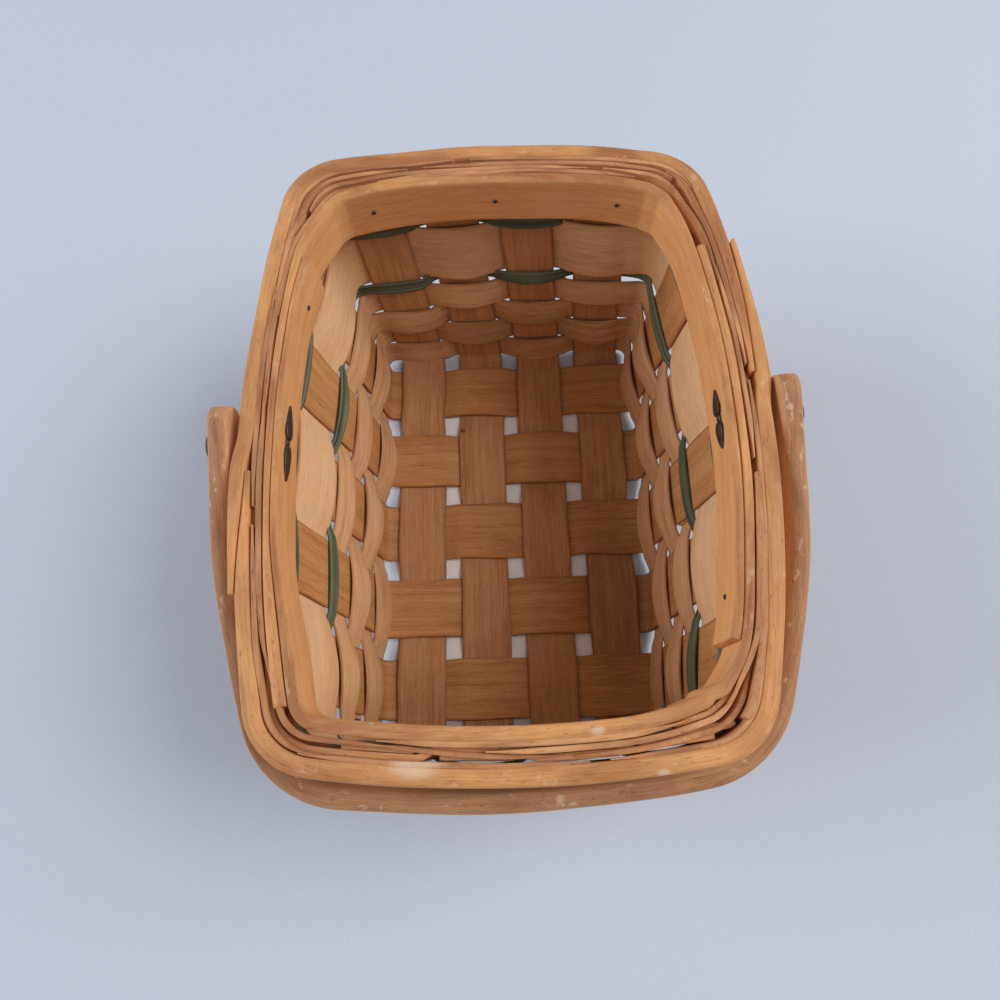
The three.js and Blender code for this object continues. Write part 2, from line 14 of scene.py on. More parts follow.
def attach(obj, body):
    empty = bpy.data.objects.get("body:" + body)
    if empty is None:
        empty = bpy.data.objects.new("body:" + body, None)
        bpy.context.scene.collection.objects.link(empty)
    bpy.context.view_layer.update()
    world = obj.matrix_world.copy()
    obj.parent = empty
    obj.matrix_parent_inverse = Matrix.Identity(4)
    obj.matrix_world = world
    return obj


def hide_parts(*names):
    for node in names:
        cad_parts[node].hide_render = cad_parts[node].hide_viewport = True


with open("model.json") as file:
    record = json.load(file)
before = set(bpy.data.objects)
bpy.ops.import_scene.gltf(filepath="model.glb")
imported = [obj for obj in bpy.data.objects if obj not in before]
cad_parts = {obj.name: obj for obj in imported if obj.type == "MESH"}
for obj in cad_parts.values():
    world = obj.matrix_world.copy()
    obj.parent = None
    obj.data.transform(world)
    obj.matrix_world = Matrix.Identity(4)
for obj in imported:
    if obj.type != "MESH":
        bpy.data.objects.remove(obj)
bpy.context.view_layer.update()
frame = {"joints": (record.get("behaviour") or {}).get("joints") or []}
MM = 0.001

# Splints
STAKE_T = 1.2
WEAVER_T = 0.9
GREEN_T = 1.4
STAKE_ROUND = 0.45  # rounding of their edges
WEAVER_ROUND = 0.4
GREEN_ROUND = 0.6
GREEN_GROOVE = 0.45  # depth of the furrow along a green weaver
STAKE_WANDER = 0.25  # how far a stake's edges wander
WEAVE_GAP = 0.3
SNUG = 0.06  # gap that shows between splints that cross on the walls
PASS_MARGIN = 0.5
BULGE = 2.8  # how far a weaver's lower edge stands off the middle of a stake
GREEN_BULGE = 1.8
WIDE_BULGE = 1.8
UPPER_BULGE = 1.4  # the upper green weaver is held by the bands
BULGE_RANGE = (0.5, 1.3)  # share of it at one stake or another
TOP_BULGE = 0.45  # share of it at a weaver's upper edge

# Stakes: the long ones run along Y, the cross ones along X
LONG_STAKES = 4
LONG_W = 22
LONG_GAP = 7.3
CROSS_STAKES = 5
CROSS_W = 26.6
CROSS_GAP = 9.9
SIDE_EDGE = 6
END_EDGE = 7.7
BEND_REACH = 3.5
FAR_LEAN = -3.6
FAR_FAN = 1.5
NEAR_LEAN = 4.5
LEFT_LEAN = 2.5

# Walls
HEIGHT = 116
SIDE_FLARE = 21.8
END_FLARE = 12.8
LEFT_PRESS = 2.2
BASE_LEAN = (5, -6)
BASE_CORNER_R = 4
RIM_CORNER_R = 16.5
CORNER_OPENS = 4  # the corners stay tight in the lower rows
BASE_BOW_R = 4000
SIDE_BOW_R = 386
END_BOW_R = 411

# Weaver rows
FIRST_ROW_Z = 3.4
ROW_GAP = 0.5
ROW_LAP = 0.5  # the rows are packed so tightly that they hide each other's edges by this much
ROW_FOOT = 1.6  # and reach down behind the row below by this much
WIDE_LAP = 1.6  # the wide weaver reaches up behind the upper green one by this much
NARROW_ROWS = 4
GREEN_H = 5.4
GREEN_DROP = 11.5  # as low as it shows under the bands
WIDE_H = 23.7
ROW_SWAY = 0.3  # how far a row wanders up and down
RIM_ROW_SWAY = 0.2
ROW_WAVES = (83, 190, 410)
CORNER_DIP = 3  # the rows sag by this much at the far left corner
DIP_BEFORE = 0.6  # this far before the first left stake, in stakes
DIP_SPREAD = 0.7
DIP_RISE = 40  # the sag grows over this height above the base
DIP_FADE = 30  # and fades over this height below the rim

# Rim
BAND_H = 22
OUTER_T = 5
INNER_T = 3.8
RIM_CLEAR = 0.3
KINK_DROP = 2
KINK_EASE = 1.5
KINK_HEIGHTS = (12, 8, 4 * KINK_EASE, KINK_EASE)  # where a stake bends above the wall
STAKE_TOP_DROP = 3.8  # loose splints lie on the stake ends
STAKE_TOP_UNEVEN = 1.8
CROWD = 0.8  # stakes and rim weaver push each other aside in the rim
CROWD_RUN = 6  # over this height
THICKEN_RUN = 8  # the stakes fill the rim over this height
RIM_WEAVER_TAIL = 8
FILL_H = 3.2  # height of the loose splints in the rim
FILL_DROP = 0.5
FILL_TAPER = 16  # length of their thin ends
FILL_END = 0.3  # share of their thickness there
CORNER_DEPTH = 4  # they are this much higher for each millimetre that the inner band cuts a corner
CORNER_PULL = {1: 3.4, 3: 3.0, 7: 4.4}  # how far it cuts the far right, far left and near right corner
CORNER_SPREAD = 18
SIDE_FILL = {"middle": 0, "over": 1.0, "t": 1.8}  # how they lie in the rim along the sides
END_FILL = {"middle": -2.05, "over": 1.4, "t": 2.2}  # and round the ends, where the inner band stands off
SCARF_END_T = 1.5
OUTER_RAMP = 14
INNER_RAMP = 26
OUTER_ROUND = 1.3
INNER_ROUND = 1.1
LEFT_SHAVE = 0.36  # share that is shaved off the inner bands along the left side
LEFT_SHAVE_REACH = 80  # to both sides of its middle
RIGHT_SHAVE = 0.2  # and along the right side
RIGHT_SHAVE_REACH = 110
SHAVE_EASE = 40
BAND_SWELL = 0.6  # bands are this much thicker where nothing laps them
SWELL_EASE = 30
BAND_TOP_DROP = 0.4
FIT_GAP = 0.3
OUTER_LAPS = ((15, 67), (15, 55))
INNER_LAPS = ((-76, 67), (-68, 92))

# Brads
BRAD_HEAD_R = 0.9
BRAD_HEAD_T = 0.7
BRAD_RINGS = 5
BRAD_SPREAD = 48
BRAD_INSET = 15

# Handle
HANDLE_T = 7
HANDLE_W = 17
HANDLE_ROUND = 2.2
HANDLE_CLEAR = 1.2
HANDLE_SPREAD = 1.7
SPREAD_RUN = 50
HANDLE_TAIL = 13
TAIL_CORNER_R = 6
PIVOT_SHIFT = -1
PIVOT_SKEW = math.radians(1.7)
FOLD_ANGLE = math.radians(16)

# Split rivets
RIVET_HEAD_R = 5
RIVET_HEAD_T = 2.2
RIVET_CLEAR = 0.15
KNOB_R = 1.7  # the middle of the rivet, between its legs
KNOB_T = 1.2
LEG_LENGTH = 13
RIGHT_LEG_LENGTH = 10
LEG_W = 6
LEG_T = 1.0
LEG_START = 1.2
LEG_ROUND = 0.5

# Places that the frame gives
pivot = frame["joints"][0]["pos_m"]
SHIFT = np.array([pivot[0] / MM, pivot[1] / MM - PIVOT_SHIFT, 0])
PIVOT_Z = pivot[2] / MM

# Derived sizes
LONG_PITCH = LONG_W + LONG_GAP
CROSS_PITCH = CROSS_W + CROSS_GAP
BASE_HALF_X = (LONG_STAKES * LONG_PITCH - LONG_GAP) / 2 + SIDE_EDGE
BASE_HALF_Y = (CROSS_STAKES * CROSS_PITCH - CROSS_GAP) / 2 + END_EDGE
WALL_TOP = HEIGHT - BAND_H - KINK_DROP
STAKE_TOP = HEIGHT - STAKE_TOP_DROP
BASE_LIFT = (STAKE_T + WEAVE_GAP) / 2
BASE_MID = BASE_LIFT + STAKE_T / 2
BAND_NEAR = STAKE_T / 2 + WEAVE_GAP + WEAVER_T + RIM_CLEAR
INNER_FACE = BAND_NEAR + 2 * INNER_T + FIT_GAP
HANDLE_NEAR = BAND_NEAR + OUTER_T + SCARF_END_T + FIT_GAP + HANDLE_CLEAR
HANDLE_MID = HANDLE_NEAR + HANDLE_T / 2
HANDLE_FAR = HANDLE_NEAR + HANDLE_T
UPPER_GREEN_Z = HEIGHT - BAND_H - GREEN_DROP
RIM_WEAVER_Z = WALL_TOP + KINK_EASE
WIDE_Z = UPPER_GREEN_Z - ROW_GAP - WIDE_H
LOWER_GREEN_Z = WIDE_Z - ROW_GAP - GREEN_H
NARROW_PITCH = (LOWER_GREEN_Z - FIRST_ROW_Z) / NARROW_ROWS
NARROW_H = NARROW_PITCH - ROW_GAP

# Mesh fineness
STEP = 2.0
END_ROUND = 0.35
ROUND_SEGMENTS = 40


def mix(a, b, f):
    return a + (b - a) * f


def smooth(f):
    f = min(max(f, 0), 1)
    return f * f * (3 - 2 * f)


def unit(v):
    return v / np.linalg.norm(v)


def rise(z):
    return min(z / WALL_TOP, 1)


# Wall outline
@functools.lru_cache(maxsize=None)
def outline(z):
    """Eight tangent arcs at height z, measured along their length from the middle of the right side."""
    g = rise(z)
    r = mix(BASE_CORNER_R, RIM_CORNER_R, g ** CORNER_OPENS)
    rx = 1 / mix(1 / BASE_BOW_R, 1 / SIDE_BOW_R, g)
    ry = 1 / mix(1 / BASE_BOW_R, 1 / END_BOW_R, g)
    side = BASE_HALF_X + SIDE_FLARE * g - rx
    end = BASE_HALF_Y + END_FLARE * g - ry
    cx, cy = corner_centre(side, rx - r, end, ry - r)
    alpha = math.atan2(cy, cx - side)
    beta = math.atan2(cx, cy - end)
    quarter = math.pi / 2
    turns = [0, alpha]
    for n in (1, 2, 3, 4):
        swing = beta if n % 2 else alpha
        turns += [n * quarter - swing, n * quarter + swing]
    turns[-1] = 4 * quarter
    centres = [(side, 0), (cx, cy), (0, end), (-cx, cy), (-side, 0), (-cx, -cy), (0, -end), (cx, -cy),
               (side, 0)]
    radii = [rx, r, ry, r, rx, r, ry, r, rx]
    lengths = [q * (turns[n + 1] - turns[n]) for n, q in enumerate(radii)]
    starts = np.concatenate([[0], np.cumsum(lengths)])
    lean = [BASE_LEAN[0] * (1 - g), BASE_LEAN[1] * (1 - g)]
    return {"turns": turns, "centres": centres, "radii": radii, "starts": starts, "length": starts[-1],
            "rx": rx, "ry": ry, "lean": lean}


def corner_centre(side, side_r, end, end_r):
    """Where a circle round (side, 0) meets one round (0, end), on the corner's side."""
    d = math.hypot(side, end)
    along = (d * d + side_r ** 2 - end_r ** 2) / (2 * d)
    off = math.sqrt(side_r ** 2 - along ** 2)
    dx, dy = -side / d, end / d
    return side + dx * along - dy * off, dy * along + dx * off


def place(s, out, z):
    """Point at arc length s, a distance out from the middle of the wall, at height z."""
    line = outline(z)
    t = s % line["length"]
    n = min(int(np.searchsorted(line["starts"], t, side="right")) - 1, len(line["radii"]) - 1)
    angle = line["turns"][n] + (t - line["starts"][n]) / line["radii"][n]
    r = line["radii"][n] + out
    cx, cy = line["centres"][n]
    x = cx + r * math.cos(angle) + line["lean"][0]
    y = cy + r * math.sin(angle) + line["lean"][1]
    return np.array([x + pressed_in(x, y, z), y, z])


def pressed_in(x, y, z):
    """Push on the left side, fading to nothing at its corners and at the base."""
    on_side = min(max(-x / BASE_HALF_X, 0), 1)
    from_corner = max(1 - (y / BASE_HALF_Y) ** 2, 0)
    return LEFT_PRESS * on_side * from_corner * rise(z)


def on_right(y, z):
    return outline(z)["rx"] * math.asin(y / outline(z)["rx"])


def on_far(x, z):
    return outline(z)["length"] / 4 - outline(z)["ry"] * math.asin(x / outline(z)["ry"])


def on_left(y, z):
    return outline(z)["length"] / 2 - on_right(y, z)


def on_near(x, z):
    return outline(z)["length"] * 3 / 4 + outline(z)["ry"] * math.asin(x / outline(z)["ry"])


HALF_RIM = outline(HEIGHT)["length"] / 2


# Small irregularities of hand-split wood
def wobble(seed, size, *lengths):
    """Smooth wandering with position: a sum of waves of these lengths, the same for the same seed."""
    rng = random.Random(seed)
    waves = [(size * rng.uniform(0.5, 1), 2 * math.pi / q, rng.uniform(0, 2 * math.pi)) for q in lengths]
    return lambda s: sum(a * math.sin(k * s + p) for a, k, p in waves)


# Shells: vertices and faces in millimetres, with grain = along, across and up in the wood,
# and edge = distance to the strip's edge
def shell(verts, faces, grain, edge, flat=()):
    return {"verts": np.asarray(verts, float), "faces": faces, "grain": np.asarray(grain, float),
            "edge": np.asarray(edge, float), "flat": flat}


def make_object(name, *shells):
    """Mesh object in metres from one or more shells."""
    faces, flat = [], []
    count = 0
    for item in shells:
        flat += [len(faces) + n for n in item["flat"]]
        faces += [tuple(v + count for v in face) for face in item["faces"]]
        count += len(item["verts"])
    verts = np.concatenate([item["verts"] for item in shells])
    mesh = bpy.data.meshes.new(name)
    mesh.from_pydata(((verts + SHIFT) * MM).tolist(), [], faces)
    grain = np.concatenate([item["grain"] for item in shells])
    edge = np.concatenate([item["edge"] for item in shells])
    mesh.attributes.new("grain", "FLOAT_VECTOR", "POINT").data.foreach_set("vector", (grain * MM).ravel())
    mesh.attributes.new("edge", "FLOAT", "POINT").data.foreach_set("value", edge.ravel())
    shading = np.ones(len(faces), bool)
    shading[flat] = False
    mesh.polygons.foreach_set("use_smooth", shading)
    mesh.update()
    obj = bpy.data.objects.new(name, mesh)
    bpy.context.scene.collection.objects.link(obj)
    return obj


def loft(rings, grain, edges):
    """Closed shell through rings of points, with flat ends."""
    n = len(rings[0])
    count = len(rings)
    faces = []
    for i in range(count - 1):
        for j in range(n):
            a, b = i * n + j, i * n + (j + 1) % n
            faces.append((a, a + n, b + n, b))
    ends = [tuple(range(n)), tuple(reversed(range((count - 1) * n, count * n)))]
    return shell(np.reshape(rings, (-1, 3)), faces + ends, np.reshape(grain, (-1, 3)), np.reshape(edges, -1),
                 (len(faces), len(faces) + 1))


# Strips
def ring_points(half, t, corner, groove=0):
    """Section round a strip's middle: offsets across and up, from the upper face's first edge.
    A groove makes the middle of both faces that much lower."""
    corner = min(corner, half * 0.6)
    h = t / 2
    depth = min(corner, h)
    inner = half - corner
    near = inner - min(corner, inner / 3)
    face = [-inner, -near, -inner / 2, -inner / 5, 0, inner / 5, inner / 2, near, inner]
    turn = [math.pi / 2 - q * math.pi / 6 for q in range(1, 6)]
    top = [(w, h - groove * math.exp(-((w / (0.3 * inner)) ** 2))) for w in face]
    right = [(inner + corner * math.cos(q), round_height(q, h, depth)) for q in turn]
    bottom = [(-w, -u) for w, u in top]
    left = [(-w, -u) for w, u in right]
    return top + right + bottom + left


def round_height(q, h, depth):
    s = math.sin(q)
    return math.copysign(h - depth + depth * abs(s), s) if abs(s) > 1e-9 else 0.0


def strip(stations, corner, offset=0, groove=0):
    """Shell of a strip given by its edge points a and b and its thickness t at each station.
    Its ends are a little rounded, and offset moves its grain."""
    middle = [(st["a"] + st["b"]) / 2 for st in stations]
    last = len(stations) - 1
    run = offset
    rings, grain, edges = [], [], []

    def ring(centre, across, up, half, t, along):
        offsets = ring_points(half, t, min(corner, t / 2), groove)
        rings.append([centre + across * w + up * u for w, u in offsets])
        grain.append([(along, w, u) for w, u in offsets])
        edges.append([half - abs(w) for w, u in offsets])

    for i, st in enumerate(stations):
        run += np.linalg.norm(middle[i] - middle[i - 1]) if i else 0
        across = st["b"] - st["a"]
        half = np.linalg.norm(across) / 2
        across = across / (2 * half)
        ahead = unit(middle[min(i + 1, last)] - middle[max(i - 1, 0)])
        up = unit(np.cross(ahead, across))
        inset = min(END_ROUND, st["t"] * 0.3)
        if i == 0:
            ring(middle[i], across, up, half - inset, st["t"] - 2 * inset, run)
            ring(middle[i] + ahead * inset, across, up, half, st["t"], run + inset)
        elif i == last:
            ring(middle[i] - ahead * inset, across, up, half, st["t"], run - inset)
            ring(middle[i], across, up, half - inset, st["t"] - 2 * inset, run)
        else:
            ring(middle[i], across, up, half, st["t"], run)
    return loft(rings, grain, edges)


def uneven(stations, seed, size):
    """Lets both edges of a strip wander a little, in its own plane."""
    left = wobble(seed, size, 31, 57, 113)
    right = wobble(seed + 0.5, size, 29, 61, 127)
    run = 0
    before = None
    for st in stations:
        middle = (st["a"] + st["b"]) / 2
        run += 0 if before is None else np.linalg.norm(middle - before)
        before = middle
        across = unit(st["b"] - st["a"])
        st["a"] = st["a"] + across * left(run)
        st["b"] = st["b"] + across * right(run)
    return stations


# Uprights: every place where a stake stands in a wall, counter-clockwise from the right wall's near end
def long_x(i):
    return (i - (LONG_STAKES - 1) / 2) * LONG_PITCH


def cross_y(j):
    return ((CROSS_STAKES - 1) / 2 - j) * CROSS_PITCH


def far_x(i, z):
    return long_x(i) + (FAR_LEAN + FAR_FAN * (i - (LONG_STAKES - 1) / 2)) * rise(z)


def near_x(i, z):
    return long_x(i) + NEAR_LEAN * rise(z)


def left_y(j, z):
    return cross_y(j) + LEFT_LEAN * rise(z)


longs = range(LONG_STAKES)
crosses = range(CROSS_STAKES)
FIRST_FAR = CROSS_STAKES
FIRST_LEFT = FIRST_FAR + LONG_STAKES
FIRST_NEAR = FIRST_LEFT + CROSS_STAKES
uprights = [
    *[{"half": CROSS_W / 2, "at": lambda z, j=j: on_right(cross_y(j), z)} for j in reversed(crosses)],
    *[{"half": LONG_W / 2, "at": lambda z, i=i: on_far(far_x(i, z), z)} for i in reversed(longs)],
    *[{"half": CROSS_W / 2, "at": lambda z, j=j: on_left(left_y(j, z), z)} for j in crosses],
    *[{"half": LONG_W / 2, "at": lambda z, i=i: on_near(near_x(i, z), z)} for i in longs],
]


def upright_at(k):
    turn, n = divmod(k, len(uprights))
    item = uprights[n]
    return {**item, "at": lambda z: item["at"](z) + turn * outline(z)["length"]}


def rim_fill(k):
    k = k % len(uprights)
    return END_FILL if FIRST_FAR <= k < FIRST_LEFT or k >= FIRST_NEAR else SIDE_FILL


# Stakes: down one wall, over and under the base, up the other wall
def wall_line(at, level, inward, upright, top):
    """Points down a wall and round the bend at its foot. The rim weaver pushes the upper end aside, except at
    the first upright, where its ends part."""
    low = level + BEND_REACH
    count = round((WALL_TOP - low) / STEP)
    heights = [top, *[WALL_TOP + h for h in KINK_HEIGHTS]]
    heights += [mix(WALL_TOP - KINK_EASE, low, n / count) for n in range(count)]
    aside = rim_fill(upright)["middle"]
    if upright:
        aside += CROWD if upright % 2 else -CROWD
    foot = place(at(level), 0, level)
    start = place(at(low), 0, low)
    end = foot + inward * BEND_REACH
    bend = [(1 - f) ** 2 * start + 2 * f * (1 - f) * foot + f * f * end for f in np.linspace(0, 1, 7)]
    return [place(at(z), aside * smooth((z - WALL_TOP) / CROWD_RUN), z) for z in heights] + bend


def base_run(crossings, half, over, to_point):
    """Flat over each crossing, and a smooth step between one crossing and the next."""
    reach = half + PASS_MARGIN
    levels = [BASE_MID + (BASE_LIFT if over(n) else -BASE_LIFT) for n in range(len(crossings))]
    points = []
    for n, c in enumerate(crossings):
        points += [to_point(mix(c - reach, c + reach, f), levels[n]) for f in np.linspace(0, 1, 9)]
        if n + 1 < len(crossings):
            start, end = c + reach, crossings[n + 1] - reach
            points += [to_point(mix(start, end, f), mix(levels[n], levels[n + 1], smooth(f)))
                       for f in (0.25, 0.5, 0.75)]
    return points, levels


def stake_stations(first, last, base_points, levels, inward, edges, seed):
    """Stations of a whole stake; first and last are its two uprights' place functions and numbers."""
    rng = random.Random(seed)
    tops = [STAKE_TOP - rng.uniform(0, STAKE_TOP_UNEVEN) for _ in (0, 1)]
    lines = []
    for e in edges:
        down = wall_line(lambda z: first[0](e, z), levels[0], inward, first[1], tops[0])
        up = wall_line(lambda z: last[0](e, z), levels[-1], -inward, last[1], tops[1])
        lines.append(down + base_points(e) + up[::-1])
    stations = []
    for n, (a, b) in enumerate(zip(*lines)):
        fill = rim_fill(first[1] if n < len(lines[0]) / 2 else last[1])
        in_rim = smooth((a[2] - WALL_TOP) / THICKEN_RUN)
        stations.append({"a": a, "b": b, "t": mix(STAKE_T, fill["t"], in_rim)})
    return stations


def long_stake(i):
    def base_points(e):
        x = long_x(i) + e + BASE_LEAN[0]
        return base_run(ys, CROSS_W / 2, over, lambda y, z: np.array([x, y + BASE_LEAN[1], z]))[0]

    def over(n):
        return (i + CROSS_STAKES - 1 - n) % 2 == 0

    ys = [cross_y(j) for j in reversed(crosses)]
    levels = base_run(ys, CROSS_W / 2, over, lambda y, z: np.zeros(3))[1]
    near = (lambda e, z: on_near(near_x(i, z) + e, z), FIRST_NEAR + i)
    far = (lambda e, z: on_far(far_x(i, z) + e, z), FIRST_LEFT - 1 - i)
    edges = (-LONG_W / 2, LONG_W / 2)
    return stake_stations(near, far, base_points, levels, np.array([0, 1, 0]), edges, 60 + i)


def cross_stake(j):
    def base_points(e):
        y = cross_y(j) + e + BASE_LEAN[1]
        return base_run(xs, LONG_W / 2, over, lambda x, z: np.array([x + BASE_LEAN[0], y, z]))[0]

    def over(n):
        return (n + j) % 2 == 1

    xs = [long_x(i) for i in longs]
    levels = base_run(xs, LONG_W / 2, over, lambda x, z: np.zeros(3))[1]
    left = (lambda e, z: on_left(left_y(j, z) + e, z), FIRST_LEFT + j)
    right = (lambda e, z: on_right(cross_y(j) + e, z), FIRST_FAR - 1 - j)
    edges = (CROSS_W / 2, -CROSS_W / 2)
    return stake_stations(left, right, base_points, levels, np.array([1, 0, 0]), edges, 70 + j)


# Weavers: in front of one upright and behind the next, all the way round
def row_shift(k, z):
    """How far a row hangs below its level height, at upright k (with a fraction between two)."""
    k = k % len(uprights)
    dip = CORNER_DIP * math.exp(-(((k - FIRST_LEFT + DIP_BEFORE) / DIP_SPREAD) ** 2))
    return -dip * smooth(z / DIP_RISE) * smooth((WALL_TOP - z) / DIP_FADE)


def weaver(row, r):
    """Stations of row number r. Its ends lap on one upright, or part at it and have tails in the rim."""
    over = (row["t"] + STAKE_T) / 2 + SNUG
    lap_at = row["lap_at"]
    lapped = row["lapped"]
    first = lap_at if lapped else lap_at + 1
    last = lap_at + len(uprights) - (0 if lapped else 1)
    rng = random.Random(200 + r)
    bulges = {k: row["bulge"] * rng.uniform(*BULGE_RANGE) for k in range(first, last + 1)}
    level = wobble(300 + r, row["sway"], *ROW_WAVES)
    stations = []

    def outward(k):
        return 1 if (k + r) % 2 == 0 else -1

    def offset(k):
        if lapped:
            return outward(k) * over + (row["t"] + WEAVE_GAP if k == last else 0)
        return rim_fill(k)["middle"] + outward(k) * rim_fill(k)["over"]

    def tail_offset(k, x):
        return mix(offset(k), rim_fill(k)["middle"], smooth(x / row["tail"]))

    def thickness(k):
        low = math.floor(k)
        return row["t"] if lapped else mix(rim_fill(low)["t"], rim_fill(low + 1)["t"], smooth(k - low))

    def add(k, at, out, free=0):
        """Adds a station; free is how far its lower edge stands off further than out."""
        ends = []
        for z, share in ((row["z0"], 1), (row["z1"], TOP_BULGE)):
            z = z + row_shift(k, z) + level(at(row["z1"]))
            ends.append(place(at(z), out + free * share, z))
        stations.append({"a": ends[0], "b": ends[1], "t": thickness(k)})

    for k in range(first, last + 1):
        here = upright_at(k)
        reach = here["half"] + PASS_MARGIN
        free = 0 if lapped and k in (first, last) else bulges[k]
        count = 2 * round(reach / STEP) + 1
        if k == first and row["tail"]:
            for x in np.linspace(row["tail"], STEP, round(row["tail"] / STEP)):
                add(k, lambda z: here["at"](z) - reach - x, tail_offset(k, x))
        for x in np.linspace(-reach, reach, count):
            add(k, lambda z: here["at"](z) + x, offset(k), outward(k) * free * (1 - (x / reach) ** 2))
        if k == last:
            break
        following = upright_at(k + 1)
        next_reach = following["half"] + PASS_MARGIN
        z = row["z1"]
        count = max(4, round((following["at"](z) - next_reach - here["at"](z) - reach) / STEP))
        for n in range(1, count):
            f = n / count
            add(k + f, lambda z: mix(here["at"](z) + reach, following["at"](z) - next_reach, f),
                mix(offset(k), offset(k + 1), smooth(f)))
    if row["tail"]:
        here = upright_at(last)
        reach = here["half"] + PASS_MARGIN
        for x in np.linspace(STEP, row["tail"], round(row["tail"] / STEP)):
            add(last, lambda z: here["at"](z) + reach + x, tail_offset(last, x))
    return stations


# Rim bands and handle
def stops(start, end, extra=()):
    """Even steps from start to end, with the extra places among them."""
    count = round((end - start) / STEP)
    found = sorted([*np.linspace(start, end, count + 1), *[s for s in extra if start <= s <= end]])
    return [s for n, s in enumerate(found) if n == 0 or s - found[n - 1] > 0.2]


def corner_pull(s):
    """How far the inner band cuts across the corners of the outline."""
    starts = outline(HEIGHT)["starts"]
    s = s % (2 * HALF_RIM)
    return sum(pull * math.exp(-(((s - (starts[n] + starts[n + 1]) / 2) / CORNER_SPREAD) ** 2))
               for n, pull in CORNER_PULL.items())


def kept(s):
    """Share of their thickness that the inner bands keep."""
    from_left = abs(s % (2 * HALF_RIM) - HALF_RIM)
    from_right = HALF_RIM - from_left
    left = LEFT_SHAVE * smooth((LEFT_SHAVE_REACH - from_left) / SHAVE_EASE)
    right = RIGHT_SHAVE * smooth((RIGHT_SHAVE_REACH - from_right) / SHAVE_EASE)
    return 1 - left - right


def inner_face(s):
    """Distance of the inner bands' inner face from the middle of the wall."""
    return BAND_NEAR + (INNER_FACE - BAND_NEAR) * kept(s)


def half_hoop(face, t, end_t, laps, ramp, starts_under, turn):
    """Half a rim band. It starts in one lap, under or over the other half, and ends in the opposite lap
    the other way."""
    start_lap, end_lap = reversed(laps) if turn else laps
    ramp_from = HALF_RIM + end_lap[0] - ramp

    def section(s):
        q0 = (s - start_lap[0]) / (start_lap[1] - start_lap[0])
        q1 = (s - HALF_RIM - end_lap[0]) / (end_lap[1] - end_lap[0])
        if q0 <= 1:
            thick = mix(end_t, t, q0)
            return thick, 0 if starts_under else t + end_t - thick + FIT_GAP
        if q1 >= 0:
            thick = mix(t, end_t, q1)
            return thick, t + end_t - thick + FIT_GAP if starts_under else 0
        climb = smooth((s - ramp_from) / ramp)
        return t, (end_t + FIT_GAP) * (climb if starts_under else 1 - climb)

    seed = 400 + 10 * turn + face
    top = wobble(seed, 0.3, 47, 101, 223)
    foot = wobble(seed + 0.3, 0.35, 53, 97, 197)
    body = wobble(seed + 0.6, 0.12, 59, 131)
    ends = (start_lap[0], HALF_RIM + end_lap[1])
    stations = []
    for s in stops(*ends, (start_lap[1], HALF_RIM + end_lap[0])):
        along = s + turn * HALF_RIM
        share = kept(along) if face < 0 else 1
        thick, lift = (q * share for q in section(s))
        swell_in = smooth((s - start_lap[1]) / SWELL_EASE)
        swell = BAND_SWELL * swell_in * smooth((HALF_RIM + end_lap[0] - s) / SWELL_EASE)
        out = face * (BAND_NEAR + lift + thick / 2 - swell / 2)
        out -= corner_pull(along) if face < 0 else 0
        low = place(along, out, HEIGHT - BAND_H + foot(s))
        high = place(along, out, HEIGHT - BAND_TOP_DROP + top(s))
        stations.append({"a": low, "b": high, "t": thick + swell + body(s)})
    return stations


TILT = np.array(Matrix.Rotation(PIVOT_SKEW, 3, "Z") @ Matrix.Rotation(FOLD_ANGLE, 3, "X"))
SKEW = np.array(Matrix.Rotation(PIVOT_SKEW, 3, "Z"))
PIVOT = np.array([0, PIVOT_SHIFT, PIVOT_Z])


def handle_bow():
    """Bow that follows the rim, turned down about the pivot to its folded place."""
    tail = on_right(HANDLE_TAIL, HEIGHT)
    ends = [TAIL_CORNER_R * (1 - math.sin(q)) for q in np.linspace(0, math.pi / 2, 9)]
    extra = [tail - d for d in ends] + [-HALF_RIM - tail + d for d in ends]
    upper = wobble(500, 0.35, 67, 149, 331)
    lower = wobble(501, 0.35, 71, 139, 307)
    body = wobble(502, 0.2, 61, 173)
    stations = []
    for s in stops(-HALF_RIM - tail, tail, extra):
        drop = max(TAIL_CORNER_R - min(tail - s, s + HALF_RIM + tail), 0)
        half = HANDLE_W / 2 - TAIL_CORNER_R + math.sqrt(max(TAIL_CORNER_R ** 2 - drop ** 2, 0))
        spread = HANDLE_SPREAD * smooth(min(-s, s + HALF_RIM) / SPREAD_RUN)
        middle = place(s, HANDLE_MID + spread, HEIGHT) * np.array([1, 1, 0])
        edges = [TILT @ (middle + np.array([0, 0, h])) + PIVOT for h in (-half + lower(s), half + upper(s))]
        stations.append({"a": edges[0], "b": edges[1], "t": HANDLE_T + body(s)})
    return stations


# Metal parts
def dome(centre, axis, radius, height, rings=9):
    """Round head with a thin upright edge and a domed top, closed behind."""
    axis = unit(np.asarray(axis, float))
    side = unit(np.cross(axis, (0, 0, 1)))
    other = np.cross(axis, side)
    skirt = height * 0.3
    profile = [(radius * 0.96, 0), (radius, skirt * 0.4), (radius, skirt)]
    profile += [(radius * math.cos(q), skirt + (height - skirt) * math.sin(q))
                for q in np.linspace(0.12, math.pi / 2 - 0.06, rings)]
    turns = [2 * math.pi * n / ROUND_SEGMENTS for n in range(ROUND_SEGMENTS)]
    spokes = [side * math.cos(q) + other * math.sin(q) for q in turns]
    circles = [[centre + axis * h + spoke * r for spoke in spokes] for r, h in profile]
    blank = [[(0, 0, 0)] * ROUND_SEGMENTS] * len(circles)
    return loft(circles, blank, [[r] * ROUND_SEGMENTS for r, h in profile])


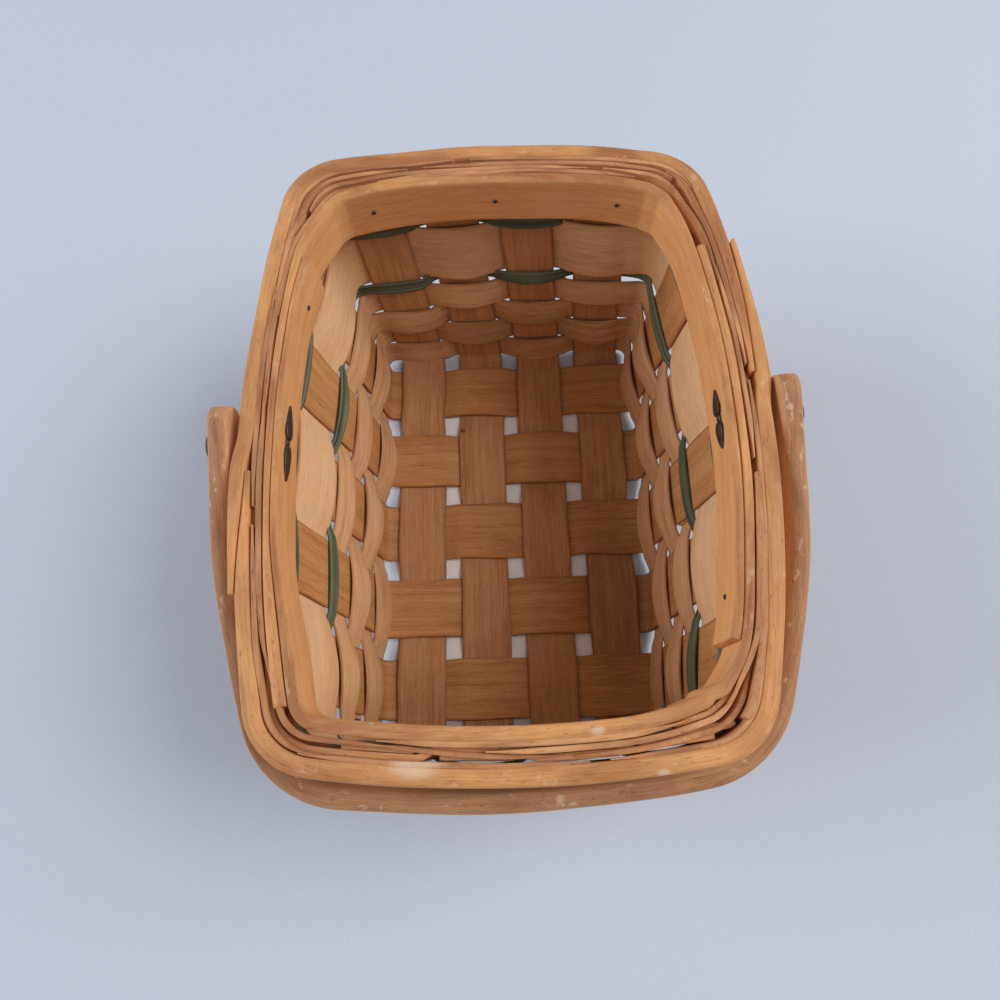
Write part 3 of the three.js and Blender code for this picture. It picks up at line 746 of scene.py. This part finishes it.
# Outline of a rivet's leg: share of its length, share of its width
LEAF = ((0, 0.62), (0.12, 0.85), (0.3, 1), (0.5, 0.88), (0.7, 0.66), (0.86, 0.4), (0.96, 0.18), (1, 0.08))


def leg(s, direction, length, seed):
    """One clinched leg of a split rivet: a leaf that lies on the inner band and dips into it at its tip."""
    rng = random.Random(seed)
    stations = []
    for f, width in LEAF:
        half = LEG_W / 2 * width * rng.uniform(0.9, 1.1)
        sag = PIVOT_Z - 0.4 * math.sin(3 * f) * rng.uniform(0.5, 1.5)
        t = LEG_T * mix(1.15, 0.6, f)
        along = s + direction * (LEG_START + length * f)
        out = -inner_face(along) - 0.1 - t / 2
        stations.append({"a": place(along, out, sag - half), "b": place(along, out, sag + half), "t": t})
    return strip(stations if direction > 0 else stations[::-1], LEG_ROUND)


def rivet(side):
    """Domed head on the handle, and two clinched legs on the inner band. Side is 1 at the right and -1 at
    the left."""
    reach = abs(place(on_right(0, PIVOT_Z) if side > 0 else on_left(0, PIVOT_Z), 0, PIVOT_Z)[0])
    axis = SKEW @ np.array([side, 0, 0])
    head = dome(PIVOT + axis * (reach + HANDLE_FAR + RIVET_CLEAR), axis, RIVET_HEAD_R, RIVET_HEAD_T)
    y = PIVOT_SHIFT + side * (reach - INNER_FACE) * math.tan(PIVOT_SKEW)
    s = on_right(y, PIVOT_Z) if side > 0 else on_left(y, PIVOT_Z)
    knob = dome(place(s, 0.1 - inner_face(s), PIVOT_Z), -axis, KNOB_R, KNOB_T, BRAD_RINGS)
    length = LEG_LENGTH if side < 0 else RIGHT_LEG_LENGTH
    return head, knob, leg(s, 1, length, 80 + side), leg(s, -1, length, 90 + side)


def channel(s):
    """Room between the inner and the outer band at arc length s: where it starts and ends."""
    corner = outline(HEIGHT)["starts"]
    side = abs((s + HALF_RIM / 2) % HALF_RIM - HALF_RIM / 2)
    wide = smooth((side - corner[1] + 22) / 26)
    return -BAND_NEAR - wide * (INNER_T + FIT_GAP) - corner_pull(s) + 0.3, BAND_NEAR - 0.1


def sliver(s0, s1, u0, u1, t, drop, blunt, seed):
    """Loose splint that lies on the stake ends between the bands. It runs from share u0 of the room to
    share u1, with thin ends unless they are blunt."""
    aside = wobble(seed, 0.12, 37, 83)
    crest = wobble(seed + 0.5, 0.15, 41, 89)
    stations = []
    for s in stops(s0, s1):
        low, high = channel(s)
        end = min(s - s0, s1 - s)
        thick = t * (1 if blunt else mix(FILL_END, 1, smooth(end / FILL_TAPER)))
        out = mix(low, high, mix(u0, u1, smooth((s - s0) / (s1 - s0)))) + aside(s)
        out = min(max(out, low + thick / 2), high - thick / 2)
        top = HEIGHT - FILL_DROP - drop + crest(s)
        depth = FILL_H + CORNER_DEPTH * corner_pull(s)
        stations.append({"a": place(s, out, top - depth), "b": place(s, out, top), "t": thick})
    return strip(stations, WEAVER_ROUND, 50 * seed)


def brad(s):
    seat = place(s, -inner_face(s) - corner_pull(s), HEIGHT - BAND_H / 2)
    inward = seat - place(s, 0, HEIGHT - BAND_H / 2)
    return dome(seat + unit(inward) * 0.02, inward, BRAD_HEAD_R, BRAD_HEAD_T, BRAD_RINGS)


# Materials
class Shader:
    """A node material, with short calls to add nodes and join them."""

    def __init__(self, name):
        self.material = bpy.data.materials.new(name)
        self.material.use_nodes = True
        self.tree = self.material.node_tree
        self.surface = self.tree.nodes["Principled BSDF"]

    def node(self, kind, inputs=(), **settings):
        made = self.tree.nodes.new("ShaderNode" + kind)
        for key, value in settings.items():
            setattr(made, key, value)
        for key, value in dict(inputs).items():
            self.put(made.inputs[key], value)
        return made

    def put(self, socket, value):
        if isinstance(value, bpy.types.NodeSocket):
            self.tree.links.new(value, socket)
        else:
            socket.default_value = value

    def attribute(self, name, output):
        return self.node("Attribute", attribute_name=name).outputs[output]

    def math(self, operation, a, b=0.0):
        made = self.node("Math", operation=operation)
        self.put(made.inputs[0], a)
        self.put(made.inputs[1], b)
        return made.outputs[0]

    def total(self, *terms):
        """Sum of value * weight over (value, weight) pairs."""
        found = None
        for value, weight in terms:
            term = self.math("MULTIPLY", value, weight)
            found = term if found is None else self.math("ADD", found, term)
        return found

    def scaled(self, vector, scale):
        return self.node("VectorMath", {0: vector, 1: scale}, operation="MULTIPLY").outputs[0]

    def noise(self, vector, scale, detail=2.0, roughness=0.5, distortion=0.0):
        made = self.node("TexNoise", {"Vector": self.scaled(vector, scale), "Scale": 1.0, "Detail": detail,
                                      "Roughness": roughness, "Distortion": distortion})
        return made.outputs["Fac"]

    def steps(self, value, *stops):
        """Colour ramp through (position, colour) stops."""
        made = self.node("ValToRGB", {"Fac": value})
        ramp = made.color_ramp
        while len(ramp.elements) < len(stops):
            ramp.elements.new(0.5)
        for element, (position, colour) in zip(ramp.elements, stops):
            element.position = position
            element.color = rgba(colour)
        return made.outputs["Color"]

    def span(self, value, low, high, out_low=0.0, out_high=1.0):
        made = self.node("MapRange", {"Value": value, "From Min": low, "From Max": high, "To Min": out_low,
                                      "To Max": out_high})
        return made.outputs["Result"]

    def blend(self, kind, factor, a, b):
        made = self.node("Mix", data_type="RGBA", blend_type=kind)
        self.put(made.inputs["Factor"], factor)
        self.put(made.inputs[6], a)
        self.put(made.inputs[7], b)
        return made.outputs[2]


def linear(r, g, b):
    """Colour from 0 to 255 screen values."""
    return tuple(((c / 255 + 0.055) / 1.055) ** 2.4 if c > 10 else c / 3294 for c in (r, g, b))


def rgba(colour):
    return (*colour, 1.0)


# A stake's top end is painted lighter, partly as bare end grain and partly as painted light where it is lit
# from above: depths below the rim where that starts and where it is full
LIT_BARE_FROM = 8
LIT_BARE_FULL = 4


def wood(name, dark, body, light, bands=0.25, flecks=0.5, stain=0.4, rough=0.6, fuzz=0.35, lit_cut_end=None,
         chips=0.0, marks=()):
    """Hand-split wood, with its grain along the strip: growth lines, fibres, stains, pores and worn edges.
    A mark is a ragged spot: its middle and reach in the basket, its colour and its strength."""
    sh = Shader(name)
    grain = sh.attribute("grain", "Vector")
    edge = sh.attribute("edge", "Fac")
    growth = sh.noise(grain, (9, 330, 260), 3.0, 0.55, 0.3)
    fibre = sh.noise(grain, (80, 2400, 1800), 4.0, 0.7)
    blotch = sh.noise(grain, (18, 45, 60), 4.0, 0.6, 0.5)
    patch = sh.noise(grain, (6, 25, 20), 2.0)
    pores = sh.noise(grain, (330, 3300, 2000), 1.0)
    streak = sh.noise(grain, (26, 900, 600), 2.0, 0.5)
    tone = sh.total((growth, bands), (fibre, 0.45), (blotch, 0.4 - bands * 0.4), (patch, 0.2 - bands * 0.6))
    colour = sh.steps(tone, (0.36, dark), (0.51, body), (0.66, light))
    stained = sh.span(blotch, 0.52, 0.78, 0.0, stain)
    colour = sh.blend("MULTIPLY", stained, colour, rgba(linear(196, 148, 122)))
    lined = sh.span(streak, 0.63, 0.72, 0.0, flecks * 0.6)
    colour = sh.blend("MULTIPLY", lined, colour, rgba(linear(172, 122, 92)))
    pitted = sh.span(pores, 0.67, 0.75, 0.0, flecks)
    colour = sh.blend("MULTIPLY", pitted, colour, rgba(linear(116, 76, 54)))
    grime = sh.math("MULTIPLY", sh.span(edge, 0.0, 1.4, 1.0, 0.0), sh.span(blotch, 0.35, 0.6, 0.1, 0.75))
    colour = sh.blend("MULTIPLY", grime, colour, rgba(linear(150, 108, 84)))
    place_in = sh.node("TexCoord").outputs["Object"]
    if chips:
        ragged = sh.noise(grain, (130, 420, 200), 3.0, 0.65)
        at_edge = sh.span(edge, 0.2, 1.9, 1.0, 0.0)
        chipped = sh.math("MULTIPLY", at_edge, sh.span(ragged, 0.63, 0.69, 0.0, chips))
        colour = sh.blend("MIX", chipped, colour, rgba(linear(230, 204, 176)))
    for spot, size, tint, strength in marks:
        centre = tuple((np.array(spot) + SHIFT) * MM)
        aside = sh.node("VectorMath", {0: place_in, 1: centre}, operation="SUBTRACT").outputs[0]
        sized = sh.scaled(aside, tuple(1 / (q * MM) for q in size))
        away = sh.node("VectorMath", {0: sized}, operation="LENGTH").outputs["Value"]
        ragged = sh.total((away, 1.0), (fibre, 1.2))
        colour = sh.blend("MIX", sh.span(ragged, 1.0, 1.5, strength, 0.0), colour, rgba(tint))
    # Lighter towards the top end: bare end grain, and painted light from above
    if lit_cut_end:
        height = sh.node("SeparateXYZ", {0: place_in}).outputs["Z"]
        lit_bare = sh.span(height, (HEIGHT - LIT_BARE_FROM) * MM, (HEIGHT - LIT_BARE_FULL) * MM, 0.0, 0.7)
        colour = sh.blend("MIX", lit_bare, colour, rgba(lit_cut_end))
    sh.put(sh.surface.inputs["Base Color"], colour)
    sh.put(sh.surface.inputs["Roughness"], sh.span(fibre, 0.3, 0.7, rough - 0.1, rough + 0.14))
    sh.put(sh.surface.inputs["Specular IOR Level"], 0.3)
    height = sh.total((fibre, 0.7), (growth, 0.4), (streak, 0.3), (pitted, -0.8))
    bump = sh.node("Bump", {"Height": height, "Strength": fuzz, "Distance": 0.0003})
    sh.put(sh.surface.inputs["Normal"], bump.outputs["Normal"])
    return sh.material


def reed():
    """Dyed reed, with dark lines along it."""
    sh = Shader("green_reed")
    grain = sh.attribute("grain", "Vector")
    lines = sh.noise(grain, (8, 1500, 900), 2.0, 0.6)
    patches = sh.noise(grain, (30, 90, 90), 2.0)
    tone = sh.total((lines, 0.6), (patches, 0.4))
    colour = sh.steps(tone, (0.34, linear(40, 46, 38)), (0.5, linear(84, 96, 76)),
                      (0.68, linear(128, 134, 106)))
    sh.put(sh.surface.inputs["Base Color"], colour)
    sh.put(sh.surface.inputs["Roughness"], sh.span(lines, 0.3, 0.7, 0.4, 0.65))
    bump = sh.node("Bump", {"Height": lines, "Strength": 0.6, "Distance": 0.0005})
    sh.put(sh.surface.inputs["Normal"], bump.outputs["Normal"])
    return sh.material


def steel():
    """Dark steel with a little rust."""
    sh = Shader("dark_steel")
    spot = sh.node("TexCoord").outputs["Object"]
    rust = sh.noise(spot, (400, 400, 400), 4.0, 0.65)
    colour = sh.steps(rust, (0.35, linear(52, 50, 52)), (0.55, linear(80, 76, 76)),
                      (0.75, linear(112, 80, 60)))
    sh.put(sh.surface.inputs["Base Color"], colour)
    sh.put(sh.surface.inputs["Metallic"], 0.6)
    sh.put(sh.surface.inputs["Roughness"], sh.span(rust, 0.35, 0.7, 0.38, 0.65))
    bump = sh.node("Bump", {"Height": rust, "Strength": 0.3, "Distance": 0.0002})
    sh.put(sh.surface.inputs["Normal"], bump.outputs["Normal"])
    return sh.material


def cloth():
    """Plain pale cloth, painted whiter within the base as painted light where the basket shades the floor, so
    that it shows bright through the weave.
    """
    sh = Shader("floor_cloth")
    spot = sh.node("TexCoord").outputs["Object"]
    threads = sh.noise(spot, (1500, 1500, 1), 2.0)
    colour = sh.steps(threads, (0.3, linear(194, 202, 217)), (0.7, linear(204, 212, 227)))
    centre = tuple(np.array((*BASE_LEAN, 0)) * MM + SHIFT * MM)
    aside = sh.node("VectorMath", {0: spot, 1: centre}, operation="SUBTRACT").outputs[0]
    to_base = (1 / (BASE_HALF_X * MM), 1 / (BASE_HALF_Y * MM), 1)
    sized = sh.node("SeparateXYZ", {0: sh.scaled(aside, to_base)}).outputs
    away = sh.math("MAXIMUM", sh.math("ABSOLUTE", sized["X"]), sh.math("ABSOLUTE", sized["Y"]))
    # Painted light: the floor under the base is made whiter, where the basket shades it
    colour = sh.blend("MIX", sh.span(away, 0.88, 0.94, 1.0, 0.0), colour, rgba(linear(252, 254, 255)))
    sh.put(sh.surface.inputs["Base Color"], colour)
    sh.put(sh.surface.inputs["Roughness"], 0.9)
    sh.put(sh.surface.inputs["Specular IOR Level"], 0.15)
    bump = sh.node("Bump", {"Height": threads, "Strength": 0.15, "Distance": 0.0005})
    sh.put(sh.surface.inputs["Normal"], bump.outputs["Normal"])
    return sh.material


# Bare end grain at a stake's top, made lighter still as painted light from above
LIT_CUT_END = linear(214, 160, 112)
KNOT = linear(44, 26, 18)
CRACK = linear(92, 56, 34)
SCUFF = linear(232, 206, 178)

# Marks on the wood, and painted shade
# Painted shade: the right, near part of the base is painted darker where the right wall shades it from the
# key light
BASE_SHADE = ((52, -38, 0), (30, 66, 14), linear(66, 38, 22), 0.34)
STAKE_KNOT = ((-19.5, 45.5, 1.5), (2.6, 2.6, 2), KNOT, 0.95)
ARM_KNOT = ((91, -72, 84), (9, 3.5, 9), KNOT, 0.6)
FAR_SHADE = ((4, 93, 20), (62, 17, 26), linear(78, 44, 28), 0.34)
WIDE_SHADE = ((0, 100, 66), (66, 12, 30), linear(120, 72, 46), 0.26)
CRACKS = [
    ((-45, 34, 1.5), (9, 0.6, 2), CRACK, 0.9),
    ((-41, 28, 1.5), (8, 0.5, 2), CRACK, 0.8),
    ((-37, 39, 1.5), (5, 0.5, 2), CRACK, 0.8),
    ((20, -30, 1.5), (7, 0.5, 2), CRACK, 0.6),
]
SCUFFS = [
    ((-28, -107, 116), (10, 5, 4), SCUFF, 0.6),
    ((25, -99, 116), (3, 2, 3), SCUFF, 0.6),
    ((43, -111, 116), (3, 1.5, 3), SCUFF, 0.6),
]

# Woods: dark, middle and light tone
long_wood = wood("long_stake_wood", linear(148, 98, 62), linear(192, 138, 92), linear(216, 166, 120),
                 lit_cut_end=LIT_CUT_END, marks=[BASE_SHADE, STAKE_KNOT])
cross_wood = wood("cross_stake_wood", linear(152, 98, 56), linear(196, 138, 84), linear(218, 168, 114),
                  lit_cut_end=LIT_CUT_END, marks=[BASE_SHADE, *CRACKS])
weaver_wood = wood("weaver_wood", linear(172, 122, 82), linear(218, 170, 124), linear(238, 198, 156),
                   stain=0.5, marks=[FAR_SHADE])
pale_wood = wood("pale_weaver_wood", linear(208, 158, 112), linear(234, 188, 140), linear(246, 210, 168),
                 bands=0.12, flecks=0.3, stain=0.25, rough=0.75, fuzz=0.7, marks=[WIDE_SHADE])
rim_wood = wood("rim_wood", linear(200, 138, 84), linear(230, 168, 108), linear(242, 190, 136),
                bands=0.2, flecks=0.4, stain=0.22, chips=0.25, marks=SCUFFS)
handle_wood = wood("handle_wood", linear(172, 120, 82), linear(210, 156, 112), linear(230, 182, 138),
                   bands=0.2, flecks=0.45, stain=0.35, chips=0.55, marks=[ARM_KNOT])
fill_wood = wood("rim_fill_wood", linear(188, 132, 88), linear(224, 166, 114), linear(240, 190, 142),
                 bands=0.25, flecks=0.5, stain=0.3, marks=SCUFFS)
green_reed = reed()
dark_steel = steel()


def finish_piece(obj, material, slot, body, *nodes):
    obj.data.materials.append(material)
    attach(obj, body)
    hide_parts(*nodes)
    return obj


# Stakes
for i in longs:
    stations = uneven(long_stake(i), 10 + i, STAKE_WANDER)
    piece = make_object(f"stake_long_{i + 1}", strip(stations, STAKE_ROUND, 700 * i))
    finish_piece(piece, long_wood, "stake_wood", "basket", f"long_stake_{i + 1}")
for j in crosses:
    stations = uneven(cross_stake(j), 20 + j, STAKE_WANDER)
    piece = make_object(f"stake_cross_{j + 1}", strip(stations, STAKE_ROUND, 5000 + 700 * j))
    finish_piece(piece, cross_wood, "stake_wood", "basket", f"cross_stake_{j + 1}")


# Loose splints in the rim: start and end along it, share of the room at both, thickness, drop, blunt ends
SLIVERS = (
    (-98, -22, 0.3, 0.25, 1.7, 0.1, False),
    (-88, 12, 0.8, 0.72, 1.5, 0.4, False),
    (-16, 58, 0.25, 0.35, 1.6, 0.5, False),
    (18, 104, 0.75, 0.8, 1.7, 0.2, False),
    (52, 128, 0.2, 0.45, 1.8, 0.6, False),
    (92, 178, 0.9, 0.86, 1.6, 0.1, False),
    (100, 196, 0.65, 0.6, 1.8, 0.3, False),
    (116, 214, 0.14, 0.12, 1.9, 0.2, False),
    (134, 250, 0.38, 0.36, 1.8, 0.5, False),
    (184, 276, 0.88, 0.9, 1.7, 0.3, False),
    (202, 290, 0.6, 0.66, 1.7, 0.1, False),
    (220, 296, 0.1, 0.16, 1.8, 0.6, False),
    (262, 338, 0.4, 0.3, 1.6, 0.3, False),
    (284, 366, 0.85, 0.75, 1.6, 0.2, False),
    (330, 420, 0.28, 0.25, 1.7, 0.4, False),
    (372, 452, 0.74, 0.78, 1.6, 0.2, False),
    (414, 474, 0.25, 0.3, 1.6, 0.5, False),
    (446, 530, 0.85, 0.9, 1.7, 0.2, False),
    (462, 522, 0.3, 0.62, 1.6, 2.2, False),
    (468, 560, 0.12, 0.1, 1.9, 0.2, False),
    (500, 586, 0.4, 0.32, 1.8, 0.3, False),
    (526, 598, 0.66, 0.55, 1.8, 2.6, False),
    (536, 604, 0.9, 0.88, 1.5, 0.5, False),
    (556, 592, 0.12, 0.2, 1.7, 2.2, True),
    (578, 656, 0.8, 0.42, 2.1, 0.0, True),
    (602, 636, 0.92, 0.86, 2.2, 0.9, True),
)
slivers = [sliver(*item, 600 + n) for n, item in enumerate(SLIVERS)]


# Weavers, from the rim down
def row(name, z0, h, t, **more):
    return {"name": name, "z0": z0, "z1": z0 + h, "t": t, "bulge": BULGE, "sway": ROW_SWAY, "lapped": True,
            "tail": 0, "material": weaver_wood, "slot": "weaver_wood", "corner": WEAVER_ROUND, "groove": 0,
            **more}


def narrow_row(n):
    foot = FIRST_ROW_Z + n * NARROW_PITCH - ROW_FOOT
    return row(f"narrow_weaver_{n + 1}", foot, NARROW_H + ROW_FOOT + ROW_LAP, WEAVER_T)


GREEN_LOOK = {"material": green_reed, "slot": "green_reed", "corner": GREEN_ROUND, "groove": GREEN_GROOVE}
rows = [
    row("rim_weaver", RIM_WEAVER_Z, STAKE_TOP - RIM_WEAVER_Z, WEAVER_T, bulge=0, sway=RIM_ROW_SWAY,
        lapped=False, lap_at=0, tail=RIM_WEAVER_TAIL, material=fill_wood),
    row("upper_green_weaver", UPPER_GREEN_Z, GREEN_H, GREEN_T, bulge=UPPER_BULGE, **GREEN_LOOK),
    row("wide_weaver", WIDE_Z - ROW_FOOT, WIDE_H + ROW_FOOT + WIDE_LAP, WEAVER_T, bulge=WIDE_BULGE,
        material=pale_wood, slot="pale_weaver_wood"),
    row("lower_green_weaver", LOWER_GREEN_Z, GREEN_H, GREEN_T, bulge=GREEN_BULGE, **GREEN_LOOK),
    *[narrow_row(n) for n in reversed(range(NARROW_ROWS))],
]
for r, item in enumerate(rows):
    if item["lapped"]:
        item["lap_at"] = (FIRST_LEFT if r % 2 else 0) + (2 if r % 4 < 2 else 0)
    bands = [strip(weaver(item, r), item["corner"], 10000 + 900 * r, item["groove"])]
    if item["name"] == "rim_weaver":
        bands += slivers
    piece = make_object("strip_" + item["name"], *bands)
    finish_piece(piece, item["material"], item["slot"], "basket", item["name"])

# Rim bands
for turn, side in enumerate(("far", "near")):
    outer = half_hoop(1, OUTER_T, SCARF_END_T, OUTER_LAPS, OUTER_RAMP, True, turn)
    piece = make_object(f"band_outer_{side}", strip(outer, OUTER_ROUND, 30000 + 900 * turn))
    finish_piece(piece, rim_wood, "rim_wood", "basket", f"outer_rim_{side}_half")
    inner = half_hoop(-1, INNER_T, INNER_T, INNER_LAPS, INNER_RAMP, False, turn)
    piece = make_object(f"band_inner_{side}", strip(inner, INNER_ROUND, 33000 + 900 * turn))
    finish_piece(piece, rim_wood, "rim_wood", "basket", f"inner_rim_{side}_half")

# Handle
piece = make_object("handle_bow", strip(handle_bow(), HANDLE_ROUND, 40000))
finish_piece(piece, handle_wood, "handle_wood", "handle", "handle")

# Rivets and brads
for side, name in ((1, "right"), (-1, "left")):
    piece = make_object(f"split_rivet_{name}", *rivet(side))
    finish_piece(piece, dark_steel, "dark_steel", "basket", f"{name}_rivet")
brads = [on_end(x, HEIGHT) for x in (-BRAD_SPREAD, 0, BRAD_SPREAD) for on_end in (on_far, on_near)]
brads += [INNER_LAPS[0][0] + BRAD_INSET, HALF_RIM + INNER_LAPS[1][0] + BRAD_INSET]
for n, s in enumerate(brads):
    piece = make_object(f"brad_head_{n + 1}", brad(s))
    finish_piece(piece, dark_steel, "dark_steel", "basket", f"rim_brad_{n + 1}")

# Floor
FLOOR_SIZE = 4
FLOOR_DROP = 0.0002
bpy.ops.mesh.primitive_plane_add(size=FLOOR_SIZE, location=(0, 0, -FLOOR_DROP))
floor = bpy.context.object
floor.name = "floor"
floor.data.materials.append(cloth())

# Light
SKY = (0.9, 0.94, 1.0)
SKY_STRENGTH = 0.28
world = bpy.data.worlds.new("soft_light")
bpy.context.scene.world = world
world.use_nodes = True
world.node_tree.nodes["Background"].inputs["Color"].default_value = rgba(SKY)
world.node_tree.nodes["Background"].inputs["Strength"].default_value = SKY_STRENGTH


def area_light(name, spot, target, size, power, colour):
    light = bpy.data.lights.new(name, "AREA")
    light.size = size
    light.energy = power
    light.color = colour
    obj = bpy.data.objects.new(name, light)
    obj.location = spot
    obj.rotation_euler = (Vector(target) - Vector(spot)).to_track_quat("-Z", "Y").to_euler()
    bpy.context.scene.collection.objects.link(obj)


area_light("key", spot=(1.38, 0.15, 1.48), target=(0, 0, 0.05), size=1.35, power=29.5,
           colour=(1.0, 0.97, 0.93))
area_light("fill", spot=(-1.9, 0.1, 1.05), target=(0, 0, 0.08), size=1.2, power=27,
           colour=(0.95, 0.97, 1.0))

# Camera: its place from the middle of the rim's frame, and its axes
FOCAL_PX = 725.96
IMAGE_PX = 1000
SENSOR_W = 36
CAMERA_FROM_RIM = (-0.4, -100.17, 335.5)
CAMERA_BACK = (0.0041, -0.3113, 0.9503)
CAMERA_RIGHT = (0.9995, -0.0272, -0.0133)
camera_data = bpy.data.cameras.new("camera")
camera_data.sensor_width = SENSOR_W
camera_data.lens = SENSOR_W * FOCAL_PX / IMAGE_PX
camera_data.clip_start = 0.01
camera = bpy.data.objects.new("camera", camera_data)
bpy.context.scene.collection.objects.link(camera)
back = Vector(CAMERA_BACK).normalized()
right = Vector(CAMERA_RIGHT)
right = (right - back * right.dot(back)).normalized()
axes = Matrix((right, back.cross(right), back)).transposed().to_4x4()
camera.matrix_world = Matrix.Translation(Vector((np.array(CAMERA_FROM_RIM) + SHIFT) * MM)) @ axes
bpy.context.scene.camera = camera
bpy.context.scene.view_settings.view_transform = "Standard"

# Bring the scene up to date
bpy.context.view_layer.update()
